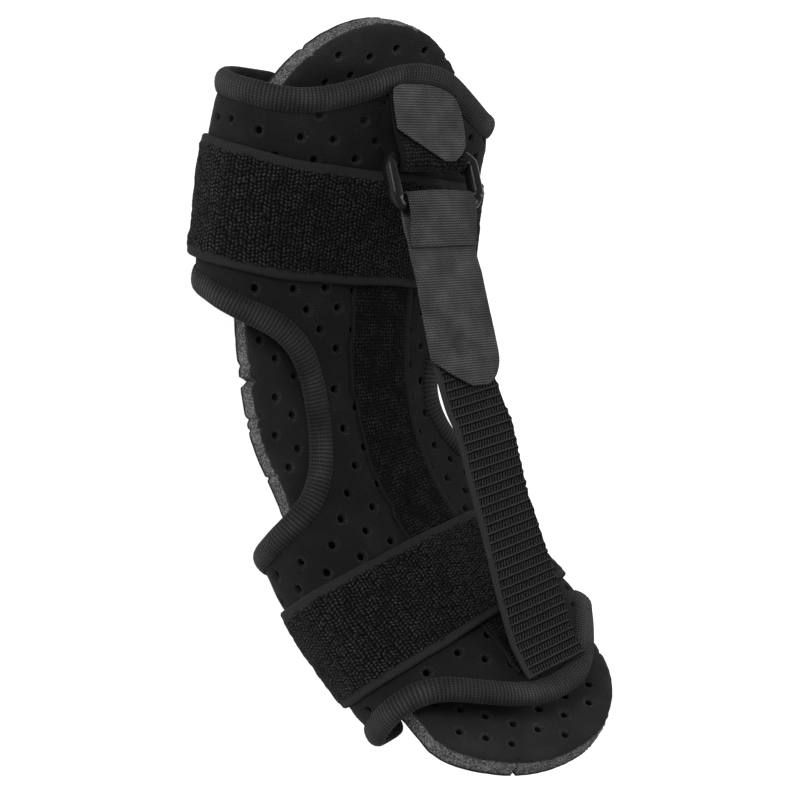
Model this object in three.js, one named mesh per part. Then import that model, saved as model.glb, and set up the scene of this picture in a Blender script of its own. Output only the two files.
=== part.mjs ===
import * as THREE from "three";

// A soft night brace for a dropped foot. All sizes are millimetres.
// It is shaped in the leg's own frame: x to the wearer's side, y forward, z up the shin.
// At the end it is laid on its back, calf cuff toward +Y, toe end toward -Y.

const DEG = Math.PI / 180;

// Cloth and strap sizes
const WALL = 3;
const GAP = 0.4;
const STRAP_GAP = 0.9;
const STRAP_WIDE = 50;
const STRAP_THICK = 2.2;
const PATCH_THICK = 1.2;
const PATCH_HALF = 17.5;
const WEBBING_HALF = 19;
const WEBBING_THICK = 1.4;
const BINDING_WIDE = 11;
const BINDING_THICK = 0.8;
const LEAF_GAP = 1.35;
const EDGE_SQUEEZE = { face: 0.8, back: 1.1 };
const INNER_RISE = 0.25;
const PAD_THICK = 9.9;
const PAD_HALF = 60;
const PAD_BOW = 2;

// Colours, all near black
const SHADES = {
  foam_pad: { colour: 0x2b2b2d, rough: 0.95 },
  brace_body: { colour: 0x1b1b1d, rough: 0.95 },
  edge_binding: { colour: 0x242427, rough: 0.9 },
  stay_sleeve: { colour: 0x161618, rough: 1.0 },
  upper_strap: { colour: 0x18181a, rough: 0.95 },
  lower_strap: { colour: 0x18181a, rough: 0.95 },
  tension_strap: { colour: 0x19191b, rough: 0.95 },
  webbing_tab: { colour: 0x414144, rough: 0.85 },
  anchor_strap: { colour: 0x18181a, rough: 0.95 },
  top_tab: { colour: 0x434346, rough: 0.85 },
  buckle: { colour: 0x141416, rough: 0.3 },
};

// The line down the middle of the shin and over the instep.
// lean: angle from straight down toward the front. veer: toward +x. twist: about the line.
const SHIN_TOP = { x: 0, y: -11.8, z: 132.2 };
const SHIN = [
  { s: -45, lean: -13, veer: 0, twist: 0 },
  { s: 0, lean: -12.6, veer: 0, twist: 0 },
  { s: 36, lean: -8.5, veer: 0, twist: 0 },
  { s: 72, lean: -4.8, veer: 0, twist: 0 },
  { s: 109, lean: 4.5, veer: 2.3, twist: 0.3 },
  { s: 145, lean: 24.7, veer: 6.4, twist: 0.7 },
  { s: 181, lean: 46.8, veer: 8.8, twist: 0.2 },
  { s: 217, lean: 60.2, veer: 8.8, twist: 2.4 },
  { s: 254, lean: 55, veer: 8.1, twist: 5.5 },
  { s: 300, lean: 52, veer: 7.2, twist: 9 },
];

// Cross-sections of the sleeve, hung from the shin line.
// half: half width, deep: half depth, side: centre to the side, the rest are angles.
const SECTIONS = [
  { s: -45, half: 68, deep: 33, side: -3.7, pitch: -2, roll: -6, yaw: 0 },
  { s: 0, half: 70, deep: 34, side: -3.7, pitch: -2, roll: -6, yaw: 0 },
  { s: 24, half: 70.6, deep: 34.5, side: -3.7, pitch: -2, roll: -6, yaw: 0 },
  { s: 74, half: 74, deep: 30.5, side: -3.7, pitch: 0, roll: -5.6, yaw: 0 },
  { s: 110, half: 74, deep: 29, side: -2, pitch: 8, roll: -2, yaw: 1 },
  { s: 150, half: 66, deep: 29, side: -1, pitch: 25, roll: 5, yaw: 5 },
  { s: 188, half: 62.5, deep: 31.5, side: -3, pitch: 39, roll: 8, yaw: 9 },
  { s: 238, half: 65.5, deep: 31.5, side: -4, pitch: 40, roll: 10, yaw: 8.4 },
  { s: 300, half: 66.5, deep: 31, side: -4, pitch: 42, roll: 12, yaw: 7 },
];
const SQUARENESS = 2.6;

// The pad's middle line down its front face, in the same way
const PAD_TOP = { x: -4.3, y: -25, z: 175.7 };
const PAD_LENGTH = 367.5;
const PAD = [
  { s: 0, lean: -17, veer: 0, twist: 0 },
  { s: 60.6, lean: -14.5, veer: -1, twist: 0 },
  { s: 121.2, lean: 6.5, veer: 0, twist: 0 },
  { s: 181.9, lean: 18.5, veer: 4.5, twist: -1.9 },
  { s: 242.5, lean: 40.5, veer: 8.5, twist: 1.1 },
  { s: 303.1, lean: 60.5, veer: 7.6, twist: 3.2 },
  { s: 363.7, lean: 66, veer: 7, twist: 5.3 },
];
const PAD_ROUND_TOP = 62;
const PAD_ROUND_TOE = 57.5;
// How far the pad's two sides come in from its full half width, down its length
const PAD_SIDES = [
  { s: 0, left: 1, right: 1 },
  { s: 60, left: 1, right: 1 },
  { s: 110, left: 3.8, right: 7 },
  { s: 140, left: 4.4, right: 9 },
  { s: 184, left: 3.2, right: 9.2 },
  { s: 204, left: 8.4, right: 9.5 },
  { s: 224, left: 9.6, right: 9.6 },
  { s: 240, left: 6, right: 6.6 },
  { s: 252, left: 5.5, right: 6 },
  { s: 266, left: 3.7, right: 4.2 },
  { s: 290, left: 3.4, right: 2 },
  { s: 306, left: 6.6, right: 2 },
  { s: 320, left: 6.6, right: 1 },
  { s: 338, left: 0, right: 0 },
  { s: 400, left: 0, right: 0 },
];

// Free edges of the sleeve's bound panel. w runs round the sleeve from the front middle.
const TOP_EDGE = [
  { w: -200, s: -14 },
  { w: -115, s: -13 },
  { w: -90, s: -10 },
  { w: -57, s: -8 },
  { w: -45, s: -10.5 },
  { w: -28, s: -17.5 },
  { w: -13, s: -25.5 },
  { w: 0, s: -28.5 },
  { w: 17, s: -27.5 },
  { w: 41, s: -17 },
  { w: 57, s: -11 },
  { w: 90, s: -10 },
  { w: 115, s: -13 },
  { w: 200, s: -14 },
];
const TOE_EDGE = [
  { w: -200, s: 262 },
  { w: -93, s: 260 },
  { w: -78, s: 256 },
  { w: -60, s: 254.5 },
  { w: -50, s: 258 },
  { w: -37, s: 268.5 },
  { w: -22, s: 279.5 },
  { w: -8, s: 284.5 },
  { w: 10, s: 285 },
  { w: 24, s: 280 },
  { w: 40, s: 269 },
  { w: 56, s: 259 },
  { w: 80, s: 257 },
  { w: 200, s: 262 },
];
// The panel's side edge: down the back of the calf cuff, in beside the ankle, out to the foot cuff
const BACK_REACH = { calf: 150, foot: 128 };
const SIDE_EDGE = [
  { s: -14, w: BACK_REACH.calf, parts: 2 },
  { s: 12.5, w: BACK_REACH.calf, parts: 4 },
  { s: 64, w: BACK_REACH.calf, parts: 1 },
  { s: 77.5, w: BACK_REACH.calf, parts: 1 },
  { s: 78.8, w: 137, parts: 1 },
  { s: 79.8, w: 126, parts: 1 },
  { s: 80.8, w: 115, parts: 1 },
  { s: 81.8, w: 105, parts: 1 },
  { s: 83.2, w: 96, parts: 1 },
  { s: 85, w: 87, parts: 1 },
  { s: 88.5, w: 76, parts: 1 },
  { s: 91.8, w: 66, parts: 1 },
  { s: 95, w: 57, parts: 1 },
  { s: 98.5, w: 51, parts: 1 },
  { s: 103, w: 46.6, parts: 1 },
  { s: 109, w: 43.2, parts: 1 },
  { s: 117, w: 41.2, parts: 1 },
  { s: 126, w: 40.8, parts: 1 },
  { s: 135, w: 41.8, parts: 1 },
  { s: 144, w: 44.6, parts: 1 },
  { s: 151, w: 49, parts: 1 },
  { s: 156, w: 55, parts: 1 },
  { s: 159.5, w: 63, parts: 1 },
  { s: 162.3, w: 73, parts: 1 },
  { s: 164.4, w: 82, parts: 1 },
  { s: 166, w: 92, parts: 1 },
  { s: 167.4, w: 102, parts: 1 },
  { s: 168.8, w: 114, parts: 1 },
  { s: 170.5, w: BACK_REACH.foot, parts: 1 },
  { s: 184, w: BACK_REACH.foot, parts: 5 },
  { s: 248, w: BACK_REACH.foot, parts: 1 },
  { s: 262, w: BACK_REACH.foot, parts: 0 },
];
// The cut beside the ankle goes a little deeper on the right
const RIGHT_CUT = { s: 124, reach: 40, deep: 3.5 };

// The straight pull in front of the ankle: face of the straps, hung in front of the shin
const PULL = [
  { z: 148.5, y: -3.4, x: 0 },
  { z: 136, y: 0.4, x: 0 },
  { z: 119, y: 3, x: 0 },
  { z: 107.7, y: 9.3, x: 0 },
  { z: 84.3, y: 15.2, x: 0 },
  { z: 62.8, y: 22.9, x: 0 },
  { z: 40, y: 29.6, x: 2 },
  { z: 25.5, y: 34.6, x: 4.1 },
  { z: 12, y: 40.2, x: 6.1 },
  { z: -4.7, y: 46.1, x: 8.4 },
  { z: -22.4, y: 52.2, x: 11.1 },
  { z: -38.2, y: 58.4, x: 13.5 },
  { z: -58.9, y: 66.7, x: 16.7 },
  { z: -77.8, y: 74, x: 19.7 },
  { z: -90, y: 79.5, x: 21.5 },
];

// The buckle: flat bars, their inner edges' middles, half thickness and half height, and its posts
const BUCKLE = {
  half: 23,
  barUp: { y: 0.8, z: 118.6 },
  barDown: { y: 7.3, z: 103.8 },
  bar: 2.1,
  barTall: 3.8,
  post: 2.8,
};

const vec = (x, y, z) => new THREE.Vector3(x, y, z);
const mix = (a, b, t) => a + (b - a) * t;
const clamp = (t, low, high) => Math.min(high, Math.max(low, t));
const ease = (t) => clamp(t, 0, 1) ** 2 * (3 - 2 * clamp(t, 0, 1));

// A column of a table read at a place, straight between rows
function read(table, key, place, column) {
  let row = 0;
  while (row < table.length - 2 && place > table[row + 1][key]) {
    row += 1;
  }
  const a = table[row];
  const b = table[row + 1];
  const t = clamp((place - a[key]) / (b[key] - a[key]), 0, 1);
  return mix(a[column], b[column], t);
}

// The same, rounded at the rows
function readSoft(table, key, place, column, spread) {
  let sum = 0;
  const steps = [-1, -0.5, 0, 0.5, 1];
  for (const step of steps) {
    sum += read(table, key, place + step * spread, column);
  }
  return sum / steps.length;
}

// Along, across and outward directions of a line at a place
function lineFrame(table, s) {
  const lean = read(table, "s", s, "lean") * DEG;
  const veer = read(table, "s", s, "veer") * DEG;
  const twist = read(table, "s", s, "twist") * DEG;
  const along = vec(Math.sin(veer), Math.cos(veer) * Math.sin(lean), -Math.cos(veer) * Math.cos(lean));
  const flat = vec(Math.cos(veer), -Math.sin(veer) * Math.sin(lean), Math.sin(veer) * Math.cos(lean));
  const rise = vec(0, Math.cos(lean), Math.sin(lean));
  const across = flat.clone().multiplyScalar(Math.cos(twist)).addScaledVector(rise, Math.sin(twist));
  const out = rise.clone().multiplyScalar(Math.cos(twist)).addScaledVector(flat, -Math.sin(twist));
  return { along, across, out };
}

const LINE_STEP = 1.5;
function traceLine(table, start, from, to) {
  const points = [];
  const count = Math.ceil((to - from) / LINE_STEP);
  const zero = Math.round(-from / LINE_STEP);
  points[zero] = vec(start.x, start.y, start.z);
  for (let i = zero + 1; i <= count; i += 1) {
    const mid = lineFrame(table, from + (i - 0.5) * LINE_STEP);
    points[i] = points[i - 1].clone().addScaledVector(mid.along, LINE_STEP);
  }
  for (let i = zero - 1; i >= 0; i -= 1) {
    const mid = lineFrame(table, from + (i + 0.5) * LINE_STEP);
    points[i] = points[i + 1].clone().addScaledVector(mid.along, -LINE_STEP);
  }
  return (s) => {
    const place = clamp((s - from) / LINE_STEP, 0, count - 1e-6);
    const i = Math.floor(place);
    return points[i].clone().lerp(points[i + 1], place - i);
  };
}
const shinPoint = traceLine(SHIN, SHIN_TOP, -45, 300);
const padPoint = traceLine(PAD, PAD_TOP, 0, PAD_LENGTH + 1);

// Half of a rounded oval as lengths round from its front middle
const TURN_STEPS = 60;
function sectionAt(s) {
  const pick = (column) => readSoft(SECTIONS, "s", s, column, 12);
  const roll = pick("roll") * DEG;
  const yaw = pick("yaw") * DEG;
  const pitch = pick("pitch") * DEG;
  const across = vec(Math.cos(roll) * Math.cos(yaw), -Math.cos(roll) * Math.sin(yaw), Math.sin(roll));
  const out = vec(0, Math.cos(pitch), Math.sin(pitch));
  out.addScaledVector(across, -out.dot(across)).normalize();
  const front = shinPoint(s).addScaledVector(lineFrame(SHIN, s).out, -(PATCH_THICK + GAP));
  const half = pick("half");
  const deep = pick("deep");
  const round = [];
  let length = 0;
  for (let i = 0; i <= TURN_STEPS; i += 1) {
    const turn = (Math.PI * i) / TURN_STEPS;
    const sin = Math.sin(turn);
    const cos = Math.cos(turn);
    const x = half * Math.abs(sin) ** (2 / SQUARENESS);
    const y = deep * (Math.sign(cos) * Math.abs(cos) ** (2 / SQUARENESS) - 1);
    if (i > 0) {
      length += Math.hypot(x - round[i - 1].x, y - round[i - 1].y);
    }
    round.push({ x, y, length });
  }
  return { across, out, front, round, side: pick("side"), girth: length };
}
const sectionStore = new Map();
function section(s) {
  const key = Math.round(s * 20);
  if (!sectionStore.has(key)) {
    sectionStore.set(key, sectionAt(key / 20));
  }
  return sectionStore.get(key);
}

// A place on the sleeve: s down the shin, w round from the front, h above its outer face
function sleeve(s, w, h) {
  const cut = section(s);
  const reach = clamp(Math.abs(w), 0, cut.girth * 2);
  const past = reach > cut.girth;
  const length = past ? 2 * cut.girth - reach : reach;
  let i = 1;
  while (i < TURN_STEPS && cut.round[i].length < length) {
    i += 1;
  }
  const a = cut.round[i - 1];
  const b = cut.round[i];
  const t = clamp((length - a.length) / (b.length - a.length), 0, 1);
  const before = cut.round[Math.max(i - 2, 0)];
  const after = cut.round[Math.min(i + 1, TURN_STEPS)];
  const slopeX = mix(b.x - before.x, after.x - a.x, t);
  const slopeY = mix(b.y - before.y, after.y - a.y, t);
  const size = Math.hypot(slopeX, slopeY) || 1;
  const hand = (w < 0 ? -1 : 1) * (past ? -1 : 1);
  let x = mix(a.x, b.x, t);
  let y = mix(a.y, b.y, t);
  x += (-slopeY / size) * h;
  y += (slopeX / size) * h;
  return cut.front.clone().addScaledVector(cut.across, cut.side * ease(length / 60) + hand * x)
    .addScaledVector(cut.out, y);
}

// Closed wall between two faces given over the same grid
function wall(rows, columns, outer, inner, wrap = false) {
  const points = [];
  const faces = [];
  for (const face of [outer, inner]) {
    for (let i = 0; i < rows; i += 1) {
      for (let j = 0; j < columns; j += 1) {
        points.push(face(i, j));
      }
    }
  }
  const at = (side, i, j) => side * rows * columns + (i % rows) * columns + j;
  const quad = (a, b, c, d) => faces.push(a, b, c, a, c, d);
  const last = wrap ? rows : rows - 1;
  for (let i = 0; i < last; i += 1) {
    for (let j = 0; j < columns - 1; j += 1) {
      quad(at(0, i, j), at(0, i + 1, j), at(0, i + 1, j + 1), at(0, i, j + 1));
      quad(at(1, i, j), at(1, i, j + 1), at(1, i + 1, j + 1), at(1, i + 1, j));
    }
    quad(at(0, i, 0), at(1, i, 0), at(1, i + 1, 0), at(0, i + 1, 0));
    const end = columns - 1;
    quad(at(0, i, end), at(0, i + 1, end), at(1, i + 1, end), at(1, i, end));
  }
  if (!wrap) {
    const end = rows - 1;
    for (let j = 0; j < columns - 1; j += 1) {
      quad(at(0, 0, j), at(0, 0, j + 1), at(1, 0, j + 1), at(1, 0, j));
      quad(at(0, end, j), at(1, end, j), at(1, end, j + 1), at(0, end, j + 1));
    }
  }
  return solid(points, faces);
}

// Closed body from a ring of profile points carried along a path
function sweep(rings, closed) {
  const points = rings.flat();
  const size = rings[0].length;
  const faces = [];
  const last = closed ? rings.length : rings.length - 1;
  for (let i = 0; i < last; i += 1) {
    const next = (i + 1) % rings.length;
    for (let j = 0; j < size; j += 1) {
      const k = (j + 1) % size;
      faces.push(i * size + j, next * size + j, next * size + k);
      faces.push(i * size + j, next * size + k, i * size + k);
    }
  }
  if (!closed) {
    for (const [row, turn] of [[0, 1], [rings.length - 1, -1]]) {
      for (let j = 1; j < size - 1; j += 1) {
        const tri = [row * size, row * size + j, row * size + j + 1];
        faces.push(...(turn > 0 ? tri : tri.reverse()));
      }
    }
  }
  return solid(points, faces);
}

// Laid on its back: turned so the cuffs' backs touch the floor
const LIE = { tip: 18.69, roll: -4.66 };
const pose = new THREE.Matrix4().makeRotationY(LIE.roll * DEG)
  .multiply(new THREE.Matrix4().makeRotationX(LIE.tip * DEG))
  .multiply(new THREE.Matrix4().makeBasis(vec(1, 0, 0), vec(0, 0, 1), vec(0, 1, 0)));

// A body laid down, its triangles turned to face outward
function solid(shape, faces) {
  const points = shape.map((p) => p.clone().applyMatrix4(pose));
  let volume = 0;
  for (let i = 0; i < faces.length; i += 3) {
    const [a, b, c] = [points[faces[i]], points[faces[i + 1]], points[faces[i + 2]]];
    volume += a.dot(b.clone().cross(c));
  }
  const index = volume < 0 ? faces.slice().reverse() : faces;
  const geometry = new THREE.BufferGeometry();
  geometry.setAttribute("position", new THREE.Float32BufferAttribute(points.flatMap((p) => p.toArray()), 3));
  geometry.setIndex(index);
  return geometry;
}

const group = new THREE.Group();
group.name = "foot_drop_brace";
function add(name, geometry) {
  const shade = SHADES[name];
  const material = new THREE.MeshStandardMaterial({
    color: shade.colour,
    roughness: shade.rough,
    metalness: 0,
  });
  const mesh = new THREE.Mesh(geometry, material);
  mesh.name = name;
  group.add(mesh);
}

// Long foam pad with rounded ends
const PAD_ROWS = 34;
const PAD_COLUMNS = 7;
function padHalf(s, side) {
  const top = clamp(1 - s / PAD_ROUND_TOP, 0, 1);
  const toe = clamp(1 - (PAD_LENGTH - s) / PAD_ROUND_TOE, 0, 1);
  const inward = readSoft(PAD_SIDES, "s", s, side, 6);
  return (PAD_HALF - inward) * Math.sqrt(1 - top ** 2) * Math.sqrt(1 - toe ** 2);
}
function padPlace(i, j, h) {
  const t = i / (PAD_ROWS - 1);
  const s = mix(0.6, PAD_LENGTH - 0.6, t - 0.11 * Math.sin(2 * Math.PI * t));
  const frame = lineFrame(PAD, s);
  const share = (2 * j) / (PAD_COLUMNS - 1) - 1;
  const wide = share * padHalf(s, share < 0 ? "left" : "right");
  const bow = PAD_BOW * (0.5 - (wide / PAD_HALF) ** 2);
  return padPoint(s).addScaledVector(frame.across, wide).addScaledVector(frame.out, h + bow);
}
const padFront = (i, j) => padPlace(i, j, 0);
const padBack = (i, j) => padPlace(i, j, -PAD_THICK);
add("foam_pad", wall(PAD_ROWS, PAD_COLUMNS, padFront, padBack));

// Columns of the panel, closer together where it turns the corners of the leg
const COLUMN_RUNS = [
  { to: -1, count: 0 },
  { to: -0.82, count: 2 },
  { to: -0.34, count: 8 },
  { to: 0.34, count: 6 },
  { to: 0.82, count: 8 },
  { to: 1, count: 2 },
];
const COLUMNS = [COLUMN_RUNS[0].to];
for (let r = 1; r < COLUMN_RUNS.length; r += 1) {
  for (let k = 1; k <= COLUMN_RUNS[r].count; k += 1) {
    COLUMNS.push(mix(COLUMN_RUNS[r - 1].to, COLUMN_RUNS[r].to, k / COLUMN_RUNS[r].count));
  }
}
const SIDE_ROWS = [];
SIDE_EDGE.forEach((knot, k) => {
  for (let part = 0; part < Math.max(knot.parts, k === SIDE_EDGE.length - 1 ? 1 : 0); part += 1) {
    const next = SIDE_EDGE[Math.min(k + 1, SIDE_EDGE.length - 1)];
    const share = knot.parts ? part / knot.parts : 0;
    SIDE_ROWS.push({ s: mix(knot.s, next.s, share), w: mix(knot.w, next.w, share) });
  }
});

// The panel's free rim: along the top, down the right, back along the toe edge, up the left
function panelRim() {
  const edge = (table, share, reach) => {
    const w = share * reach;
    return { s: readSoft(table, "w", w, "s", 5), w };
  };
  const deeper = (row) => RIGHT_CUT.deep * ease(1 - Math.abs(row.s - RIGHT_CUT.s) / RIGHT_CUT.reach);
  const beside = (row, hand) => ({ s: row.s, w: hand * row.w - (hand > 0 ? deeper(row) : 0) });
  const top = COLUMNS.map((u) => edge(TOP_EDGE, u, BACK_REACH.calf));
  const toe = COLUMNS.map((u) => edge(TOE_EDGE, u, BACK_REACH.foot));
  const right = SIDE_ROWS.map((row) => beside(row, 1));
  const left = SIDE_ROWS.map((row) => beside(row, -1));
  const rim = [
    ...top.slice(0, -1),
    ...right.slice(0, -1),
    ...toe.slice(1).reverse(),
    ...left.slice(1).reverse(),
  ];
  return rim.map((here, k) => {
    const ahead = rim[(k + 1) % rim.length];
    const behind = rim[(k - 1 + rim.length) % rim.length];
    const down = sleeve(here.s + 1, here.w, 0).sub(sleeve(here.s - 1, here.w, 0)).multiplyScalar(0.5);
    const round = sleeve(here.s, here.w + 1, 0).sub(sleeve(here.s, here.w - 1, 0)).multiplyScalar(0.5);
    const facing = round.clone().cross(down).normalize();
    const reachTo = (a, b) => down.clone().multiplyScalar(b.s - a.s).addScaledVector(round, b.w - a.w);
    const inFrom = facing.clone().cross(reachTo(behind, here)).normalize();
    const inTo = facing.clone().cross(reachTo(here, ahead)).normalize();
    const inward = inFrom.clone().add(inTo).normalize();
    inward.multiplyScalar(1 / Math.max(inward.dot(inFrom), 0.7));
    const dd = down.dot(down);
    const dr = down.dot(round);
    const rr = round.dot(round);
    const bd = inward.dot(down);
    const br = inward.dot(round);
    const size = dd * rr - dr * dr;
    return { ...here, stepS: (bd * rr - br * dr) / size, stepW: (br * dd - bd * dr) / size };
  });
}
const RIM = panelRim();
const fromRim = (p, d) => ({ s: p.s + p.stepS * d, w: p.w + p.stepW * d });

// Panel of the sleeve: calf cuff, narrow middle, foot cuff. Its edge sits inside the binding.
const EDGE_SET_IN = 1.7;
const ACROSS = COLUMNS.length - 1;
const DOWN = SIDE_ROWS.length - 1;
const SHAPED = { top: 0.25, toe: 0.34 };
const PANEL = panelGrid(EDGE_SET_IN);
function panelGrid(setIn) {
  const at = (k) => fromRim(RIM[k % RIM.length], setIn);
  const top = (j) => at(j);
  const right = (i) => at(ACROSS + i);
  const toe = (j) => at(ACROSS + DOWN + ACROSS - j);
  const left = (i) => at(i === 0 ? 0 : 2 * ACROSS + DOWN + DOWN - i);
  const grid = [];
  for (let i = 0; i <= DOWN; i += 1) {
    const v = (SIDE_ROWS[i].s - SIDE_ROWS[0].s) / (SIDE_ROWS[DOWN].s - SIDE_ROWS[0].s);
    const near = { top: clamp(1 - v / SHAPED.top, 0, 1), toe: clamp((v - 1) / SHAPED.toe + 1, 0, 1) };
    const line = [];
    for (let j = 0; j <= ACROSS; j += 1) {
      const u = (COLUMNS[j] + 1) / 2;
      const place = {};
      for (const c of ["s", "w"]) {
        const fromTop = top(j)[c] - mix(top(0)[c], top(ACROSS)[c], u);
        const fromToe = toe(j)[c] - mix(toe(0)[c], toe(ACROSS)[c], u);
        place[c] = mix(left(i)[c], right(i)[c], u) + near.top * fromTop + near.toe * fromToe;
      }
      line.push(place);
    }
    grid.push(line);
  }
  return grid;
}
// The wall is squeezed a little thinner where the binding is sewn over it
function squeezeAt(i, j) {
  const here = sleeve(PANEL[i][j].s, PANEL[i][j].w, 0);
  const near = Math.min(...RIM_POINTS.map((p) => p.distanceTo(here)));
  return ease((BINDING_WIDE + 10 - near) / 8);
}
const RIM_POINTS = RIM.map((p) => sleeve(p.s, p.w, 0));
const SQUEEZE = PANEL.map((line, i) => line.map((place, j) => squeezeAt(i, j)));
const panelPlace = (i, j, h) => sleeve(PANEL[i][j].s, PANEL[i][j].w, h);
const panelFace = (i, j) => panelPlace(i, j, -SQUEEZE[i][j] * EDGE_SQUEEZE.face);
const panelBack = (i, j) => panelPlace(i, j, SQUEEZE[i][j] * EDGE_SQUEEZE.back - WALL);
add("brace_body", wall(DOWN + 1, ACROSS + 1, panelFace, panelBack));

// Binding folded over the whole rim: d in from the free edge, h above the panel's outer face
const OVER = LEAF_GAP + BINDING_THICK;
const INNER = INNER_RISE - WALL;
const BINDING_SECTION = [
  { d: BINDING_WIDE, h: LEAF_GAP },
  { d: BINDING_WIDE, h: OVER },
  { d: 0, h: OVER - 0.3 },
  { d: 0, h: INNER - OVER + 0.3 },
  { d: BINDING_WIDE, h: INNER - OVER },
  { d: BINDING_WIDE, h: INNER - LEAF_GAP },
  { d: 1.2, h: INNER - LEAF_GAP },
  { d: 1.2, h: LEAF_GAP },
];
function bindingRings() {
  return RIM.map((here) => BINDING_SECTION.map((p) => {
    const place = fromRim(here, p.d);
    return sleeve(place.s, place.w, p.h);
  }));
}
add("edge_binding", sweep(bindingRings(), true));

// Sleeve of the stay, down the middle of the panel
const PATCH_ROWS = 30;
const PATCH_GAP = 0.65;
function patchPlace(i, j, h) {
  const s = mix(30, 265, i / (PATCH_ROWS - 1));
  return sleeve(s, mix(-PATCH_HALF, PATCH_HALF, j / 4), h);
}
const patchFace = (i, j) => patchPlace(i, j, PATCH_GAP + PATCH_THICK);
const patchBack = (i, j) => patchPlace(i, j, PATCH_GAP);
add("stay_sleeve", wall(PATCH_ROWS, 5, patchFace, patchBack));

// A strap round the sleeve, its end lapped over its start at the back
const STRAP_ROWS = 76;
const LAP = 46;
function strapHeight(s, w, girth, reach, hem) {
  const front = ease((PATCH_HALF + 12 - Math.abs(w)) / 12) * (PATCH_THICK + GAP);
  const round = Math.min(Math.abs(w), 2 * girth - Math.abs(w));
  const flap = ease((round - (reach - BINDING_WIDE - 12)) / 10) * OVER;
  const cuff = ease((round - 78) / 12) * ease((s - hem + 5) / 5) * OVER;
  return STRAP_GAP + Math.max(front, flap, cuff);
}
function strap(name, sTop, reach, hem) {
  const girth = section(sTop + STRAP_WIDE / 2).girth;
  const start = -girth - LAP / 2;
  const end = girth + LAP / 2;
  const place = (i, j, h) => {
    const w = mix(start, end, i / (STRAP_ROWS - 1));
    const lapped = ease((w - (girth - LAP / 2 - 16)) / 14) * (STRAP_THICK + GAP);
    const s = sTop + (STRAP_WIDE * j) / 3;
    const scale = section(s).girth / girth;
    const near = w < -girth ? w + 2 * girth : w;
    return sleeve(s, near * scale, strapHeight(s, near, girth, reach, hem) + lapped + h);
  };
  add(name, wall(STRAP_ROWS, 4, (i, j) => place(i, j, STRAP_THICK), (i, j) => place(i, j, 0)));
}
strap("upper_strap", 23, BACK_REACH.calf, 67);
strap("lower_strap", 188.6, BACK_REACH.foot, 400);

// A flat band along a path in front of the shin, its middle line given with its face direction
function band(name, path, thick, columns = 3) {
  const place = (i, j, h) => {
    const p = path[i];
    const share = (2 * j) / (columns - 1) - 1;
    const shift = p.shift === undefined ? 0 : p.shift;
    return p.mid.clone().addScaledVector(p.across, share * p.half + shift).addScaledVector(p.face, h);
  };
  add(name, wall(path.length, columns, (i, j) => place(i, j, thick / 2), (i, j) => place(i, j, -thick / 2)));
}

const SIDEWAYS = vec(1, 0, 0);
// Middle-line points in the plane of the shin turned into path rows
function pathRows(points, half, across = SIDEWAYS) {
  return points.map((p, i) => {
    const ahead = points[Math.min(i + 1, points.length - 1)];
    const behind = points[Math.max(i - 1, 0)];
    const run = vec(0, ahead.y - behind.y, ahead.z - behind.z).normalize();
    const face = vec(0, -run.z, run.y);
    return { mid: vec(p.x || 0, p.y, p.z), across, face, half: p.half || half, shift: p.shift };
  });
}
function pullAt(z, behind) {
  const row = (at) => vec(0, readPull(at, "y"), at);
  const run = row(z - 2).sub(row(z + 2)).normalize();
  const y = readPull(z, "y") - behind * -run.z;
  return { y, z: z - behind * run.y, x: readPull(z, "x") };
}
function readPull(z, column) {
  let sum = 0;
  for (const step of [-4, -2, 0, 2, 4]) {
    sum += read(PULL_UP, "z", z + step, column);
  }
  return sum / 5;
}
const PULL_UP = PULL.slice().reverse();

// Webbing: short hem in front, round the buckle's lower bar, long tab behind it
const HEM_END_Z = 84.3;
const TAB_END_Z = 23;
const HEM_BULGE = 1.9;
const BACK_BULGE = 2.4;
function webbingPath() {
  const points = [];
  const bar = BUCKLE.barDown;
  const hemFace = WEBBING_THICK / 2;
  const turn = BUCKLE.bar + 0.6 + WEBBING_THICK / 2;
  for (let z = HEM_END_Z; z < bar.z - 3; z += 4.5) {
    const p = pullAt(z, hemFace - HEM_BULGE * ease((z - HEM_END_Z - 3) / 11));
    points.push({ y: p.y, z: p.z, half: WEBBING_HALF });
  }
  for (let k = 0; k <= 8; k += 1) {
    const angle = mix(20, 200, k / 8) * DEG;
    points.push({ y: bar.y + turn * Math.cos(angle), z: bar.z + turn * Math.sin(angle), half: WEBBING_HALF });
  }
  const second = hemFace + WEBBING_THICK + GAP;
  for (let z = bar.z - 9; z > TAB_END_Z; z -= 5) {
    const settle = ease((HEM_END_Z - 2 - z) / 12);
    const apart = BACK_BULGE * ease((z - HEM_END_Z) / 10);
    const p = pullAt(z, mix(second, hemFace, settle) + apart);
    points.push({ y: p.y, z: p.z, x: p.x, half: WEBBING_HALF, shift: 0 });
  }
  return points;
}
function tabEnd(points) {
  // the free end is cut square on its left and rounded to a tip at its right
  for (const p of points.slice(-9)) {
    const left = clamp((p.z - TAB_END_Z) / 15, 0.02, 1);
    const right = clamp((p.z - TAB_END_Z + 3) / 9, 0.1, 1);
    const a = mix(9, WEBBING_HALF, Math.sqrt(left));
    const b = mix(6, WEBBING_HALF, Math.sqrt(right));
    const low = left < 1 ? mix(-4, WEBBING_HALF, left ** 0.8) : a;
    p.half = (low + b) / 2;
    p.shift = (b - low) / 2;
  }
  return points;
}
band("webbing_tab", pathRows(tabEnd(webbingPath()), WEBBING_HALF), WEBBING_THICK);

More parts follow.
